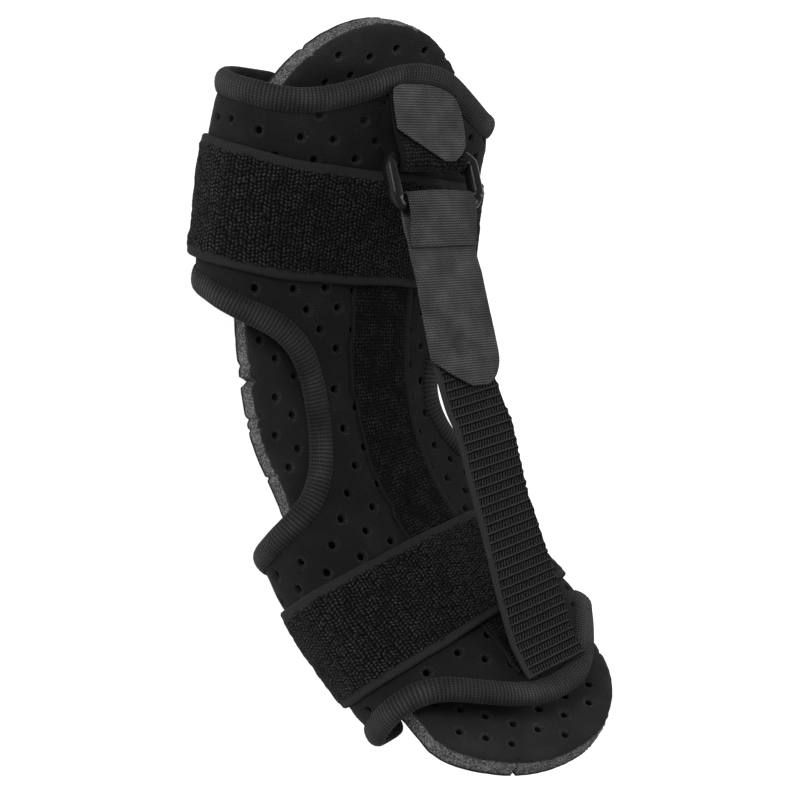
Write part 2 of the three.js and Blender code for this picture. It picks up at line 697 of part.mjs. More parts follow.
// Tension strap: hidden top end under the tab, sewn to the foot cuff at its toe end
const TENSION_THICK = 2.2;
const TENSION = {
  topZ: 76,
  freeEndZ: -80,
  freeHalf: 15.4,
  sewnHalf: 18.4,
  sewnFrom: 267,
  sewnTo: 272,
  slant: 2,
};
function tensionPath() {
  const rows = [];
  const sit = WEBBING_THICK + STRAP_GAP + TENSION_THICK / 2;
  for (let z = TENSION.topZ; z > TENSION.freeEndZ; z -= 6) {
    const under = ease((z - 8) / 12);
    const hem = ease((z - 66) / 8) * (WEBBING_THICK + GAP);
    const p = pullAt(z, mix(TENSION_THICK / 2, sit, under) + hem);
    const next = pullAt(z - 3, 0);
    const prev = pullAt(z + 3, 0);
    const run = vec(next.x - prev.x, next.y - prev.y, next.z - prev.z).normalize();
    const toe = sleeve(TENSION.sewnTo + TENSION.slant, 18, 0);
    toe.sub(sleeve(TENSION.sewnTo - TENSION.slant, -18, 0)).normalize();
    const across = SIDEWAYS.clone().lerp(toe, ease((10 - z) / 90)).normalize();
    across.addScaledVector(run, -across.dot(run)).normalize();
    const half = mix(TENSION.freeHalf, TENSION.sewnHalf, ease((-20 - z) / 50));
    rows.push({ mid: vec(p.x, p.y, p.z), across, face: across.clone().cross(run).normalize(), half });
  }
  const lift = GAP + STRAP_GAP + PATCH_THICK + TENSION_THICK / 2;
  for (const s of [TENSION.sewnFrom, TENSION.sewnTo]) {
    const mid = sleeve(s, 0, lift);
    const run = sleeve(s + 2, 0, lift).sub(sleeve(s - 2, 0, lift)).normalize();
    const across = sleeve(s + TENSION.slant, 18, lift).sub(sleeve(s - TENSION.slant, -18, lift));
    across.addScaledVector(run, -across.dot(run)).normalize();
    rows.push({ mid, across, face: across.clone().cross(run).normalize(), half: TENSION.sewnHalf });
  }
  return rows;
}
band("tension_strap", tensionPath(), TENSION_THICK);

// Buckle: a rounded loop, thin bars, stouter side posts
function buckleRings() {
  const up = vec(0, BUCKLE.barUp.y, BUCKLE.barUp.z);
  const down = vec(0, BUCKLE.barDown.y, BUCKLE.barDown.z);
  const mid = up.clone().add(down).multiplyScalar(0.5);
  const rise = up.clone().sub(mid);
  const tall = rise.length() + BUCKLE.barTall - BUCKLE.bar;
  rise.normalize();
  const face = vec(1, 0, 0).cross(rise).normalize();
  const corner = 4.5;
  const rings = [];
  const legs = [
    { x: 1, z: 1 }, { x: -1, z: 1 }, { x: -1, z: -1 }, { x: 1, z: -1 },
  ];
  legs.forEach((leg, q) => {
    for (let k = 0; k <= 4; k += 1) {
      const angle = (q * 90 + k * 22.5) * DEG;
      const x = leg.x * (BUCKLE.half - corner) + corner * Math.cos(angle);
      const z = leg.z * (tall - corner) + corner * Math.sin(angle);
      const side = ease((Math.abs(x) - (BUCKLE.half - 2.6)) / 2.2);
      const wide = mix(BUCKLE.barTall, BUCKLE.post, side);
      const deep = mix(BUCKLE.bar, BUCKLE.post + 0.5, side);
      const outward = vec(1, 0, 0).multiplyScalar(Math.cos(angle)).addScaledVector(rise, Math.sin(angle));
      const middle = mid.clone().addScaledVector(vec(1, 0, 0), x).addScaledVector(rise, z);
      const ring = [];
      for (let n = 0; n < 12; n += 1) {
        const turn = (n * 30 + 15) * DEG;
        ring.push(middle.clone().addScaledVector(outward, wide * Math.cos(turn))
          .addScaledVector(face, deep * Math.sin(turn)));
      }
      rings.push(ring);
    }
  });
  return rings;
}
add("buckle", sweep(buckleRings(), true));

// Anchor strap: sewn on the calf cuff, down through the buckle and up again in front
const ANCHOR_THICK = 1.6;
function anchorPath() {
  const bar = BUCKLE.barUp;
  const turn = BUCKLE.bar + 0.6 + ANCHOR_THICK / 2;
  const points = [];
  for (const s of [-9, -5, 0, 4]) {
    const p = sleeve(s, 0, 0.7 + ANCHOR_THICK / 2);
    points.push({ y: p.y, z: p.z });
  }
  points.push({ y: -9.6, z: 123.5 });
  points.push({ y: -5, z: 118.8 });
  for (let k = 0; k <= 8; k += 1) {
    const angle = mix(-128, 24, k / 8) * DEG;
    points.push({ y: bar.y + turn * Math.cos(angle), z: bar.z + turn * Math.sin(angle) });
  }
  points.push({ y: 1.8, z: 125 });
  points.push({ y: -1.6, z: 131 });
  points.push({ y: -4.1, z: 138 });
  points.push({ y: -6.4, z: 147 });
  return points;
}
band("anchor_strap", pathRows(anchorPath(), WEBBING_HALF), ANCHOR_THICK);

// Grey tab folded over the anchor strap's top end
const TOP_TAB = [
  { y: -6.8, z: 150.9, left: 12, right: 2 },
  { y: -5.4, z: 150.2, left: 17, right: 7 },
  { y: -4.6, z: 148.6, left: 18.4, right: 12 },
  { y: -3.9, z: 145.6, left: 19, right: 16.6 },
  { y: -2.4, z: 140, left: 19, right: 18.9 },
  { y: 0, z: 132.6, left: 18.8, right: 19.2 },
  { y: 1.6, z: 129, left: 13, right: 18.8 },
  { y: 3.4, z: 125.6, left: 7, right: 17.6 },
  { y: 4.8, z: 122.4, left: 1.5, right: 15 },
  { y: 6, z: 119.6, left: -4, right: 10.4 },
];
const TAB_THICK = 1.2;
band("top_tab", pathRows(TOP_TAB.map((p) => ({
  y: p.y,
  z: p.z,
  half: (p.left + p.right) / 2,
  shift: (p.right - p.left) / 2,
})), WEBBING_HALF), TAB_THICK);

// Set down on the floor, middle of its footprint at the origin
const bounds = new THREE.Box3();
for (const mesh of group.children) {
  mesh.geometry.computeBoundingBox();
  bounds.union(mesh.geometry.boundingBox);
}
const middle = bounds.getCenter(vec(0, 0, 0));
for (const mesh of group.children) {
  mesh.geometry.translate(-middle.x, -middle.y, -bounds.min.z);
  mesh.geometry.computeVertexNormals();
}

export default group;
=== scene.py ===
import math

import bpy
import numpy as np
from mathutils import Matrix, Vector
from mathutils.geometry import delaunay_2d_cdt


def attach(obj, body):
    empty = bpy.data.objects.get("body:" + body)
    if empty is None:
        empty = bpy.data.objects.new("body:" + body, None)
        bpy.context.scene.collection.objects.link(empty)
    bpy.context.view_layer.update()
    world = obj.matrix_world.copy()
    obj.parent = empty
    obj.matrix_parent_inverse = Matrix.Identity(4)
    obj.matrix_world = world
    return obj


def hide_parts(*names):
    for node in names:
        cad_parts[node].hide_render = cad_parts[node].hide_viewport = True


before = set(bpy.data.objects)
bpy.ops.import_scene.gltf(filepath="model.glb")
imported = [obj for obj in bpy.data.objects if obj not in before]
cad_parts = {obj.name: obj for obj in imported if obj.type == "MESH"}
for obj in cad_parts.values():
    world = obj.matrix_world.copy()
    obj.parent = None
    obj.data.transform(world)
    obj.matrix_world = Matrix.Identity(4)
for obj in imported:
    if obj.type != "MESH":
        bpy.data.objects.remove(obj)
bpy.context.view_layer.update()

DEG = math.pi / 180
MM = 0.001

# Sizes in millimetres, in the leg's own frame: x to the side, y forward, z up the shin
WALL = 3.0
GAP = 0.4
STRAP_GAP = 0.9
STRAP_WIDE = 50.0
STRAP_THICK = 2.2
PATCH_THICK = 1.2
PATCH_HALF = 17.5
PATCH_GAP = 0.65
WEBBING_HALF = 19.0
WEBBING_THICK = 1.4
ANCHOR_THICK = 1.6
TENSION_THICK = 2.2
BINDING_WIDE = 11.0
PAD_THICK = 9.9
RAISE = 0.95
PAD_HALF = 60.0
PAD_BOW = 2.0
PAD_LENGTH = 367.5
PAD_ROUND_TOP = 62.0
PAD_ROUND_TOE = 57.5
HOLE_PERIOD = 16.8

SHIN_TOP = (0, -11.8, 132.2)
SHIN = {
    "s": [-45, 0, 36, 72, 109, 145, 181, 217, 254, 300],
    "lean": [-13, -12.6, -8.5, -4.8, 4.5, 24.7, 46.8, 60.2, 55, 52],
    "veer": [0, 0, 0, 0, 2.3, 6.4, 8.8, 8.8, 8.1, 7.2],
    "twist": [0, 0, 0, 0, 0.3, 0.7, 0.2, 2.4, 5.5, 9],
}
SECTIONS = {
    "s": [-45, 0, 24, 74, 110, 150, 188, 238, 300],
    "half": [68, 70, 70.6, 74, 74, 66, 62.5, 65.5, 66.5],
    "deep": [33, 34, 34.5, 30.5, 29, 29, 31.5, 31.5, 31],
    "side": [-3.7, -3.7, -3.7, -3.7, -2, -1, -3, -4, -4],
    "pitch": [-2, -2, -2, 0, 8, 25, 39, 40, 42],
    "roll": [-6, -6, -6, -5.6, -2, 5, 8, 10, 12],
    "yaw": [0, 0, 0, 0, 1, 5, 9, 8.4, 7],
}
SQUARENESS = 2.6
PAD_TOP = (-4.3, -25, 175.7)
PAD = {
    "s": [0, 60.6, 121.2, 181.9, 242.5, 303.1, 363.7],
    "lean": [-17, -14.5, 6.5, 18.5, 40.5, 60.5, 66],
    "veer": [0, -1, 0, 4.5, 8.5, 7.6, 7],
    "twist": [0, 0, 0, -1.9, 1.1, 3.2, 5.3],
}
PAD_SIDES = {
    "s": [0, 60, 110, 140, 184, 204, 224, 240, 252, 266, 290, 306, 320, 338, 400],
    "left": [1, 1, 3.8, 4.4, 3.2, 8.4, 9.6, 6, 5.5, 3.7, 3.4, 6.6, 6.6, 0, 0],
    "right": [1, 1, 7, 9, 9.2, 9.5, 9.6, 6.6, 6, 4.2, 2, 2, 1, 0, 0],
}
TOP_EDGE = {
    "w": [-200, -115, -90, -57, -45, -28, -13, 0, 17, 41, 57, 90, 115, 200],
    "s": [-14, -13, -10, -8, -10.5, -17.5, -25.5, -28.5, -27.5, -17, -11, -10, -13, -14],
}
TOE_EDGE = {
    "w": [-200, -93, -78, -60, -50, -37, -22, -8, 10, 24, 40, 56, 80, 200],
    "s": [262, 260, 256, 254.5, 258, 268.5, 279.5, 284.5, 285, 280, 269, 259, 257, 262],
}
BACK_REACH = {"calf": 150.0, "foot": 128.0}
SIDE_EDGE = [
    (-14, 150), (77.5, 150), (78.8, 137), (79.8, 126), (80.8, 115), (81.8, 105), (83.2, 96), (85, 87),
    (88.5, 76), (91.8, 66), (95, 57), (98.5, 51), (103, 46.6), (109, 43.2), (117, 41.2), (126, 40.8),
    (135, 41.8), (144, 44.6), (151, 49), (156, 55), (159.5, 63), (162.3, 73), (164.4, 82), (166, 92),
    (167.4, 102), (168.8, 114), (170.5, 128), (262, 128),
]
RIGHT_CUT = {"s": 124, "reach": 40, "deep": 3.5}
PULL = {
    "z": [-90, -77.8, -58.9, -38.2, -22.4, -4.7, 12, 25.5, 40, 62.8, 84.3, 107.7, 119, 136, 148.5],
    "y": [79.5, 74, 66.7, 58.4, 52.2, 46.1, 40.2, 34.6, 29.6, 22.9, 15.2, 9.3, 3, 0.4, -3.4],
    "x": [21.5, 19.7, 16.7, 13.5, 11.1, 8.4, 6.1, 4.1, 2, 0, 0, 0, 0, 0, 0],
}
BUCKLE = {"half": 23.0, "up": (0.8, 118.6), "down": (7.3, 103.8), "bar": 2.1, "bar_tall": 3.8, "post": 2.8}

# The brace lies on its back: leg frame to row frame
LIE = {"tip": 18.69, "roll": -4.66}
SHIFT = np.array((-1.1606, -12.8188, 70.0487))


def turn(axis, degrees):
    """A turn about an axis as a matrix."""
    return np.array(Matrix.Rotation(degrees * DEG, 3, axis))


POSE = turn("Y", LIE["roll"]) @ turn("X", LIE["tip"]) @ np.array(((1, 0, 0), (0, 0, 1), (0, 1, 0)))


def place(points):
    """Leg-frame millimetres to row-frame metres."""
    return (np.asarray(points) @ POSE.T + SHIFT) * MM


def ease(t):
    t = np.clip(t, 0, 1)
    return t * t * (3 - 2 * t)


def mix(a, b, t):
    return a + (b - a) * t


def unit(v):
    return v / np.maximum(np.linalg.norm(v, axis=-1, keepdims=True), 1e-12)


def run_length(points):
    """The length along a row of points, at each of them."""
    return np.concatenate(([0], np.cumsum(np.linalg.norm(np.diff(points, axis=0), axis=1))))


def read_rows(at, length, rows):
    """A table's rows read at places along its length."""
    return np.stack([np.interp(at, length, column) for column in rows.T], -1)


def read(table, key, at, column):
    return np.interp(at, table[key], table[column])


def read_soft(table, key, at, column, spread):
    """The table's value, averaged that far to both sides."""
    steps = (-1, -0.5, 0, 0.5, 1)
    return sum(read(table, key, np.asarray(at) + k * spread, column) for k in steps) / len(steps)


def line_frame(table, s):
    """Directions along the line, across it and up from it."""
    lean, veer, twist = (read(table, "s", s, k) * DEG for k in ("lean", "veer", "twist"))
    zero = np.zeros_like(lean)
    along = np.stack((np.sin(veer), np.cos(veer) * np.sin(lean), -np.cos(veer) * np.cos(lean)), -1)
    flat = np.stack((np.cos(veer), -np.sin(veer) * np.sin(lean), np.sin(veer) * np.cos(lean)), -1)
    rise = np.stack((zero, np.cos(lean), np.sin(lean)), -1)
    c, k = np.cos(twist)[..., None], np.sin(twist)[..., None]
    return along, flat * c + rise * k, rise * c - flat * k


def trace_line(table, start, low, high):
    """Points of a line whose direction the table gives, as a function of the length along it."""
    step = 1.5
    count = math.ceil((high - low) / step)
    zero = round(-low / step)
    middles = low + (np.arange(count) + 0.5) * step
    along = line_frame(table, middles)[0] * step
    points = np.vstack((np.zeros(3), np.cumsum(along, 0)))
    points += np.array(start) - points[zero]
    at = low + np.arange(count + 1) * step
    return lambda s: read_rows(s, at, points)


shin_point = trace_line(SHIN, SHIN_TOP, -45, 300)
pad_point = trace_line(PAD, PAD_TOP, 0, PAD_LENGTH + 1)


def smooth_noise(u, v, seed, octaves=1):
    """Seeded value noise from -1 to 1 over two arrays of coordinates."""
    total, size = 0, 0
    for k in range(octaves):
        grid = np.random.RandomState(seed + k).uniform(-1, 1, (128, 128))
        x, y = u * 2 ** k + 31.7 * k, v * 2 ** k + 17.3 * k
        i, j = np.floor(x).astype(int), np.floor(y).astype(int)
        a, b = ease(x - i), ease(y - j)
        g = lambda p, q: grid[p % 128, q % 128]
        row = mix(mix(g(i, j), g(i + 1, j), a), mix(g(i, j + 1), g(i + 1, j + 1), a), b)
        total = total + row * 0.5 ** k
        size += 0.5 ** k
    return total / size


def line_noise(t, seed, octaves=1):
    return smooth_noise(t, t * 0, seed, octaves)


# The sleeve surface as a table: one rounded oval for each millimetre down the shin
SECTION_S = np.arange(-46.0, 302.0, 1.0)
ROUND_COUNT = 400


def moving_mean(values, width=9):
    padded = np.pad(values, width // 2, mode="edge")
    return np.convolve(padded, np.ones(width) / width, "valid")


def section_tables():
    pick = lambda column: read_soft(SECTIONS, "s", SECTION_S, column, 12)
    roll, yaw, pitch = (pick(k) * DEG for k in ("roll", "yaw", "pitch"))
    across = np.stack((np.cos(roll) * np.cos(yaw), -np.cos(roll) * np.sin(yaw), np.sin(roll)), -1)
    out = np.stack((np.zeros_like(pitch), np.cos(pitch), np.sin(pitch)), -1)
    out = unit(out - across * (out * across).sum(-1, keepdims=True))
    front = shin_point(SECTION_S) - line_frame(SHIN, SECTION_S)[2] * (PATCH_THICK + GAP)
    angle = np.linspace(0, math.pi, 361)
    x0 = np.abs(np.sin(angle)) ** (2 / SQUARENESS)
    y0 = np.sign(np.cos(angle)) * np.abs(np.cos(angle)) ** (2 / SQUARENESS) - 1
    rounds, girth = [], []
    for half, deep in zip(pick("half"), pick("deep")):
        x, y = half * x0, deep * y0
        length = np.concatenate(([0], np.cumsum(np.hypot(np.diff(x), np.diff(y)))))
        even = np.linspace(0, length[-1], ROUND_COUNT + 1)
        xe, ye = np.interp(even, length, x), np.interp(even, length, y)
        dx, dy = moving_mean(np.gradient(xe)), moving_mean(np.gradient(ye))
        size = np.hypot(dx, dy)
        rounds.append(np.stack((xe, ye, -dy / size, dx / size), -1))
        girth.append(length[-1])
    return across, out, front, pick("side"), np.array(rounds), np.array(girth)


S_ACROSS, S_OUT, S_FRONT, S_SIDE, S_ROUND, S_GIRTH = section_tables()


def girth_at(s):
    return np.interp(s, SECTION_S, S_GIRTH)


def sleeve(s, w, h):
    """Points of the sleeve: s down the shin, w round from its front, h above its outer face."""
    s, w, h = np.broadcast_arrays(np.asarray(s, float), np.asarray(w, float), np.asarray(h, float))
    at = np.clip(s - SECTION_S[0], 0, len(SECTION_S) - 1.001)
    low = at.astype(int)
    total = 0
    for row, share in ((low, 1 - (at - low)), (low + 1, at - low)):
        girth = S_GIRTH[row]
        reach = np.minimum(np.abs(w), 2 * girth)
        past = reach > girth
        length = np.where(past, 2 * girth - reach, reach)
        place_at = np.clip(length / girth * ROUND_COUNT, 0, ROUND_COUNT - 1e-6)
        k = place_at.astype(int)
        t = (place_at - k)[..., None]
        both = S_ROUND[row, k] * (1 - t) + S_ROUND[row, k + 1] * t
        hand = np.where(w < 0, -1, 1) * np.where(past, -1, 1)
        x, y = both[..., 0] + both[..., 2] * h, both[..., 1] + both[..., 3] * h
        side = S_SIDE[row] * ease(length / 60)
        point = S_FRONT[row] + S_ACROSS[row] * (side + hand * x)[..., None] + S_OUT[row] * y[..., None]
        total = total + point * share[..., None]
    return total


# Part of the script: meshes

def add_object(name, data):
    made = bpy.data.objects.new(name, data)
    bpy.context.scene.collection.objects.link(made)
    return made


def make_mesh(name, points, faces, uv, attributes=None, smooth=True):
    """An object from row-frame points, with its texture coordinates in millimetres of cloth."""
    mesh = bpy.data.meshes.new(name)
    mesh.from_pydata([tuple(p) for p in points.tolist()], [], faces)
    mesh.update()
    layer = mesh.uv_layers.new(name="cloth")
    index = np.zeros(len(mesh.loops), np.int32)
    mesh.loops.foreach_get("vertex_index", index)
    layer.data.foreach_set("uv", np.asarray(uv, np.float32)[index].ravel())
    for key, values in (attributes or {}).items():
        layer = mesh.attributes.new(key, "FLOAT", "POINT")
        layer.data.foreach_set("value", np.asarray(values, np.float32))
    if smooth:
        mesh.polygons.foreach_set("use_smooth", np.ones(len(mesh.polygons), bool))
    mesh.update()
    piece = add_object(name, mesh)
    if volume_of(mesh) < 0:
        mesh.flip_normals()
    return piece


def volume_of(mesh):
    """Six times the volume that a closed mesh encloses: below zero where it is inside out."""
    mesh.calc_loop_triangles()
    tri = np.zeros(len(mesh.loop_triangles) * 3, np.int32)
    mesh.loop_triangles.foreach_get("vertices", tri)
    co = np.zeros(len(mesh.vertices) * 3)
    mesh.vertices.foreach_get("co", co)
    a, b, c = co.reshape(-1, 3)[tri.reshape(-1, 3)].transpose(1, 0, 2)
    return float((a * np.cross(b, c)).sum())


def ring_mesh(name, rings, uv, attributes=None, closed=False):
    """A closed body from rings of points carried along a path. rings is (n, m, 3)."""
    n, m = rings.shape[:2]
    faces = []
    for i in range(n if closed else n - 1):
        a, b = i * m, ((i + 1) % n) * m
        faces += [(a + j, b + j, b + (j + 1) % m, a + (j + 1) % m) for j in range(m)]
    if not closed:
        faces.append(tuple(range(m)))
        faces.append(tuple(range(n * m - 1, (n - 1) * m - 1, -1)))
    attributes = {k: np.asarray(v).ravel() for k, v in (attributes or {}).items()}
    return make_mesh(name, rings.reshape(-1, 3), faces, uv.reshape(-1, 2), attributes)


def spaced_line(points, step, closed=False):
    """Points along a polyline at even steps, and the length at each."""
    points = np.asarray(points, float)
    if closed:
        points = np.vstack((points, points[:1]))
    length = run_length(points)
    count = max(int(round(length[-1] / step)), 2)
    at = np.linspace(0, length[-1], count + 1)
    if closed:
        at = at[:-1]
    return read_rows(at, length, points), at


def loop_blur(values, sigma):
    """A closed list smoothed by a bell of that many entries."""
    reach = int(3 * sigma)
    bell = np.exp(-0.5 * (np.arange(-reach, reach + 1) / sigma) ** 2)
    bell /= bell.sum()
    padded = np.vstack((values[-reach:], values, values[:reach]))
    return np.stack([np.convolve(padded[:, k], bell, "valid") for k in range(values.shape[1])], -1)


def inside(points, outline):
    """Which points of the plane lie inside a closed outline."""
    x, y = points[:, 0], points[:, 1]
    result = np.zeros(len(points), bool)
    for (x0, y0), (x1, y1) in zip(outline, np.roll(outline, -1, 0)):
        if y0 != y1:
            result ^= ((y0 > y) != (y1 > y)) & (x < (x1 - x0) * (y - y0) / (y1 - y0) + x0)
    return result


PER_RING = 12


def cell_sheet(outline, holes, radii, spacing):
    """A flat net of triangles inside an outline, round ringed holes.

    Returns the plane points, triangles and ring number of each point, -1 on the outline."""
    plane = [outline]
    edges = [(i, (i + 1) % len(outline)) for i in range(len(outline))]
    ring_of = [np.full(len(outline), -1)]
    start = len(outline)
    step = 2 * math.pi / PER_RING
    for centre in holes:
        for k, radius in enumerate(radii):
            angles = np.arange(PER_RING) * step + 0.5 * k * step
            plane.append(centre + radius * np.stack((np.cos(angles), np.sin(angles)), -1))
            ring_of.append(np.full(PER_RING, k))
            if k == 0:
                edges += [(start + i, start + (i + 1) % PER_RING) for i in range(PER_RING)]
            start += PER_RING
    low, high = outline.min(0), outline.max(0)
    rows = []
    for i, y in enumerate(np.arange(low[1], high[1], spacing * 0.866)):
        x = np.arange(low[0] + (i % 2) * spacing / 2, high[0], spacing)
        rows.append(np.stack((x, np.full(len(x), y)), -1))
    grid = np.concatenate(rows)
    grid = grid[inside(grid, outline)]
    grid = grid[nearest(grid, outline) > NET_CLEAR]
    grid = grid[nearest(grid, holes) > radii[-1] + NET_CLEAR]
    plane.append(grid)
    ring_of.append(np.full(len(grid), -2))
    made = delaunay_2d_cdt([Vector(p) for p in np.concatenate(plane).tolist()], edges, [], 0, 1e-5)
    coords, faces, origins = np.array([tuple(v) for v in made[0]]), made[2], made[3]
    tri = np.array([f for f in faces if len(f) == 3])
    middle = coords[tri].mean(1)
    good = inside(middle, outline)
    good &= nearest(middle, holes) > radii[0] * math.cos(math.pi / PER_RING) * 0.98
    origin = np.array([o[0] if o else -1 for o in origins])
    return coords, tri[good], np.where(origin >= 0, np.concatenate(ring_of)[origin], -2)


def by_ring(ring, values):
    """For each point of a net, the value of its ring round a hole, and 0 elsewhere."""
    result = np.zeros(len(ring))
    for k, value in enumerate(values):
        result[ring == k] = value
    return result


def nearest(points, targets):
    """Distance from each point to its nearest target."""
    best = np.full(len(points), np.inf)
    for i in range(0, len(targets), 256):
        some = targets[i:i + 256]
        gap = points[:, None, :] - some[None]
        best = np.minimum(best, np.sqrt((gap ** 2).sum(-1)).min(1))
    return best


def compact(tri):
    """The points that the triangles use, and the triangles numbered by them."""
    used = np.unique(tri)
    remap = np.full(used[-1] + 1, -1)
    remap[used] = np.arange(len(used))
    return used, remap[tri]


def free_edges(tri):
    """The directed edges that belong to one triangle alone."""
    seen = {}
    for a, b, c in tri.tolist():
        for edge in ((a, b), (b, c), (c, a)):
            if edge[::-1] in seen:
                del seen[edge[::-1]]
            else:
                seen[edge] = True
    return list(seen)


def two_faces(tri, count):
    """A net's triangles, and the same turned over on a second layer of that many points."""
    faces = [tuple(t) for t in tri.tolist()]
    return faces + [(c + count, b + count, a + count) for a, b, c in faces]


def shell_from_net(name, tri, outer, inner, uv, attributes):
    """A closed shell from a net of triangles placed twice, with walls along its free edges."""
    used, tri = compact(tri)
    count = len(used)
    faces = two_faces(tri, count) + [(b, a, a + count, b + count) for a, b in free_edges(tri)]
    attributes = {k: np.concatenate((v[used],) * 2) for k, v in attributes.items()}
    points, uv = np.vstack((outer[used], inner[used])), np.vstack((uv[used],) * 2)
    return make_mesh(name, points, faces, uv, attributes)


# Part of the script: materials

BLUE = 1.03
SHEEN_ROUGHNESS = 0.4
RIB = 1.66
PULL_RIB = 4.0


class Net:
    """A new material, and short ways to add its shader nodes."""

    def __init__(self, name):
        self.material = bpy.data.materials.new(name)
        self.material.use_nodes = True
        self.tree = self.material.node_tree
        self.tree.nodes.clear()
        self.shader = self.tree.nodes.new("ShaderNodeBsdfPrincipled")
        self.add("ShaderNodeOutputMaterial", (self.shader.outputs[0],))

    def put(self, socket, value):
        if isinstance(value, bpy.types.NodeSocket):
            self.tree.links.new(value, socket)
        else:
            socket.default_value = value

    def add(self, kind, inputs=(), **settings):
        """A new node's outputs. Its inputs come in order, or by name or number."""
        made = self.tree.nodes.new(kind)
        for key, value in settings.items():
            setattr(made, key, value)
        for key, value in inputs.items() if isinstance(inputs, dict) else enumerate(inputs):
            self.put(made.inputs[key], value)
        return made.outputs

    def math(self, operation, *values):
        return self.add("ShaderNodeMath", values, operation=operation)[0]

    def plus(self, a, b):
        return self.math("ADD", a, b)

    def times(self, a, b):
        return self.math("MULTIPLY", a, b)

    def total(self, *parts):
        """The sum of values, each with its weight."""
        result = self.times(*parts[0])
        for part in parts[1:]:
            result = self.plus(result, self.times(*part))
        return result

    def wave(self, length, period, shift=0.0):
        return self.math("SINE", self.plus(self.times(length, 2 * math.pi / period), shift))

    def away(self, value, middle):
        return self.math("ABSOLUTE", self.math("SUBTRACT", value, middle))

    def vector(self, operation, a, b):
        return self.add("ShaderNodeVectorMath", (a, b), operation=operation)[0]

    def cloth(self):
        """The place on the cloth in millimetres: both ways together, across, along."""
        uv = self.add("ShaderNodeUVMap", uv_map="cloth")[0]
        u, v, _ = self.add("ShaderNodeSeparateXYZ", (uv,))
        return uv, u, v

    def solid(self):
        return self.add("ShaderNodeTexCoord")["Object"]

    def value(self, name):
        return self.add("ShaderNodeAttribute", attribute_name=name)["Fac"]

    def noise(self, vector, scale, detail=2, roughness=0.5, output="Fac"):
        """Noise of one scale, or of a scale for each axis."""
        if hasattr(scale, "__len__"):
            vector = self.vector("MULTIPLY", vector, scale)
            scale = 1.0
        inputs = {"Vector": vector, "Scale": scale, "Detail": detail, "Roughness": roughness}
        return self.add("ShaderNodeTexNoise", inputs)[output]

    def cells(self, vector, scale, randomness, dimensions="3D"):
        """Distance from the middle of the nearest cell, and a colour of its own."""
        inputs = {"Vector": vector, "Scale": scale, "Randomness": randomness}
        made = self.add("ShaderNodeTexVoronoi", inputs, feature="F1", voronoi_dimensions=dimensions)
        return made["Distance"], made["Color"]

    def ramp(self, value, stops):
        """A colour from stops, each a place and a grey."""
        made = self.add("ShaderNodeValToRGB", (value,))[0]
        elements = made.node.color_ramp.elements
        while len(elements) < len(stops):
            elements.new(0.5)
        for element, (at, grey) in zip(elements, stops):
            element.position = at
            element.color = (grey, grey, grey * BLUE, 1)
        return made

    def eased(self, value, *limits):
        """A value moved smoothly from the range of the first two limits to that of the last two."""
        return self.add("ShaderNodeMapRange", (value, *limits), interpolation_type="SMOOTHSTEP")[0]

    def blend(self, share, a, b):
        return self.add("ShaderNodeMix", {0: share, 6: a, 7: b}, data_type="RGBA")[2]

    def mixed(self, share, a, b):
        return self.add("ShaderNodeMix", {0: share, 2: a, 3: b}, data_type="FLOAT")[0]

    def finish(self, colour, height, distance, rough, sheen=0.03, level=0.03):
        """Sets the shader's looks, with that height as its bump."""
        bump = {"Height": height, "Distance": distance, "Strength": 1.0}
        looks = {
            "Base Color": colour, "Roughness": rough, "Specular IOR Level": level, "Sheen Weight": sheen,
            "Sheen Roughness": SHEEN_ROUGHNESS, "Normal": self.add("ShaderNodeBump", bump)[0],
        }
        for key, value in looks.items():
            self.put(self.shader.inputs[key], value)
        return self.material


def knit_cloth(name, shades):
    """Fine rib knit laid on neoprene: thin rows, soft mottling, light flecks, frayed rims of holes."""
    net = Net(name)
    uv, u, v = net.cloth()
    rows = net.wave(v, 1.15, net.times(net.noise(uv, 0.11), 5))
    fine = net.noise(uv, (1.5, 2.4, 1), 2, 0.6)
    lint = net.noise(uv, 0.75, 3, 0.75)
    height = net.total((rows, 0.13), (net.wave(u, 0.95), 0.08), (fine, 0.9), (lint, 0.9))
    tone = net.total((height, 0.30), (net.noise(uv, 0.045, 3, 0.6), 0.48))
    frayed = net.times(net.value("hole_rim"), net.eased(fine, 0.40, 0.68, -0.12, 0.55))
    colour = net.ramp(net.plus(tone, frayed), shades)
    return net.finish(colour, height, 0.00022, net.mixed(fine, 0.88, 1.0), 0.05)


def loop_beads(net, u, v, cell, zigzag, drift):
    """Loops standing in order: how high each place of the pile is, and a number for its own loop."""
    slid = net.plus(v, net.times(net.math("PINGPONG", u, 3.3), zigzag))
    base = net.add("ShaderNodeCombineXYZ", [net.math("DIVIDE", way, cell) for way in (u, slid)])[0]
    distance, colour = net.cells(net.vector("ADD", base, drift), 1.0, 0.30, "2D")
    own = net.add("ShaderNodeSeparateXYZ", (colour,))[0]
    return net.eased(distance, 0.14, 0.55, 1.0, 0.0), own


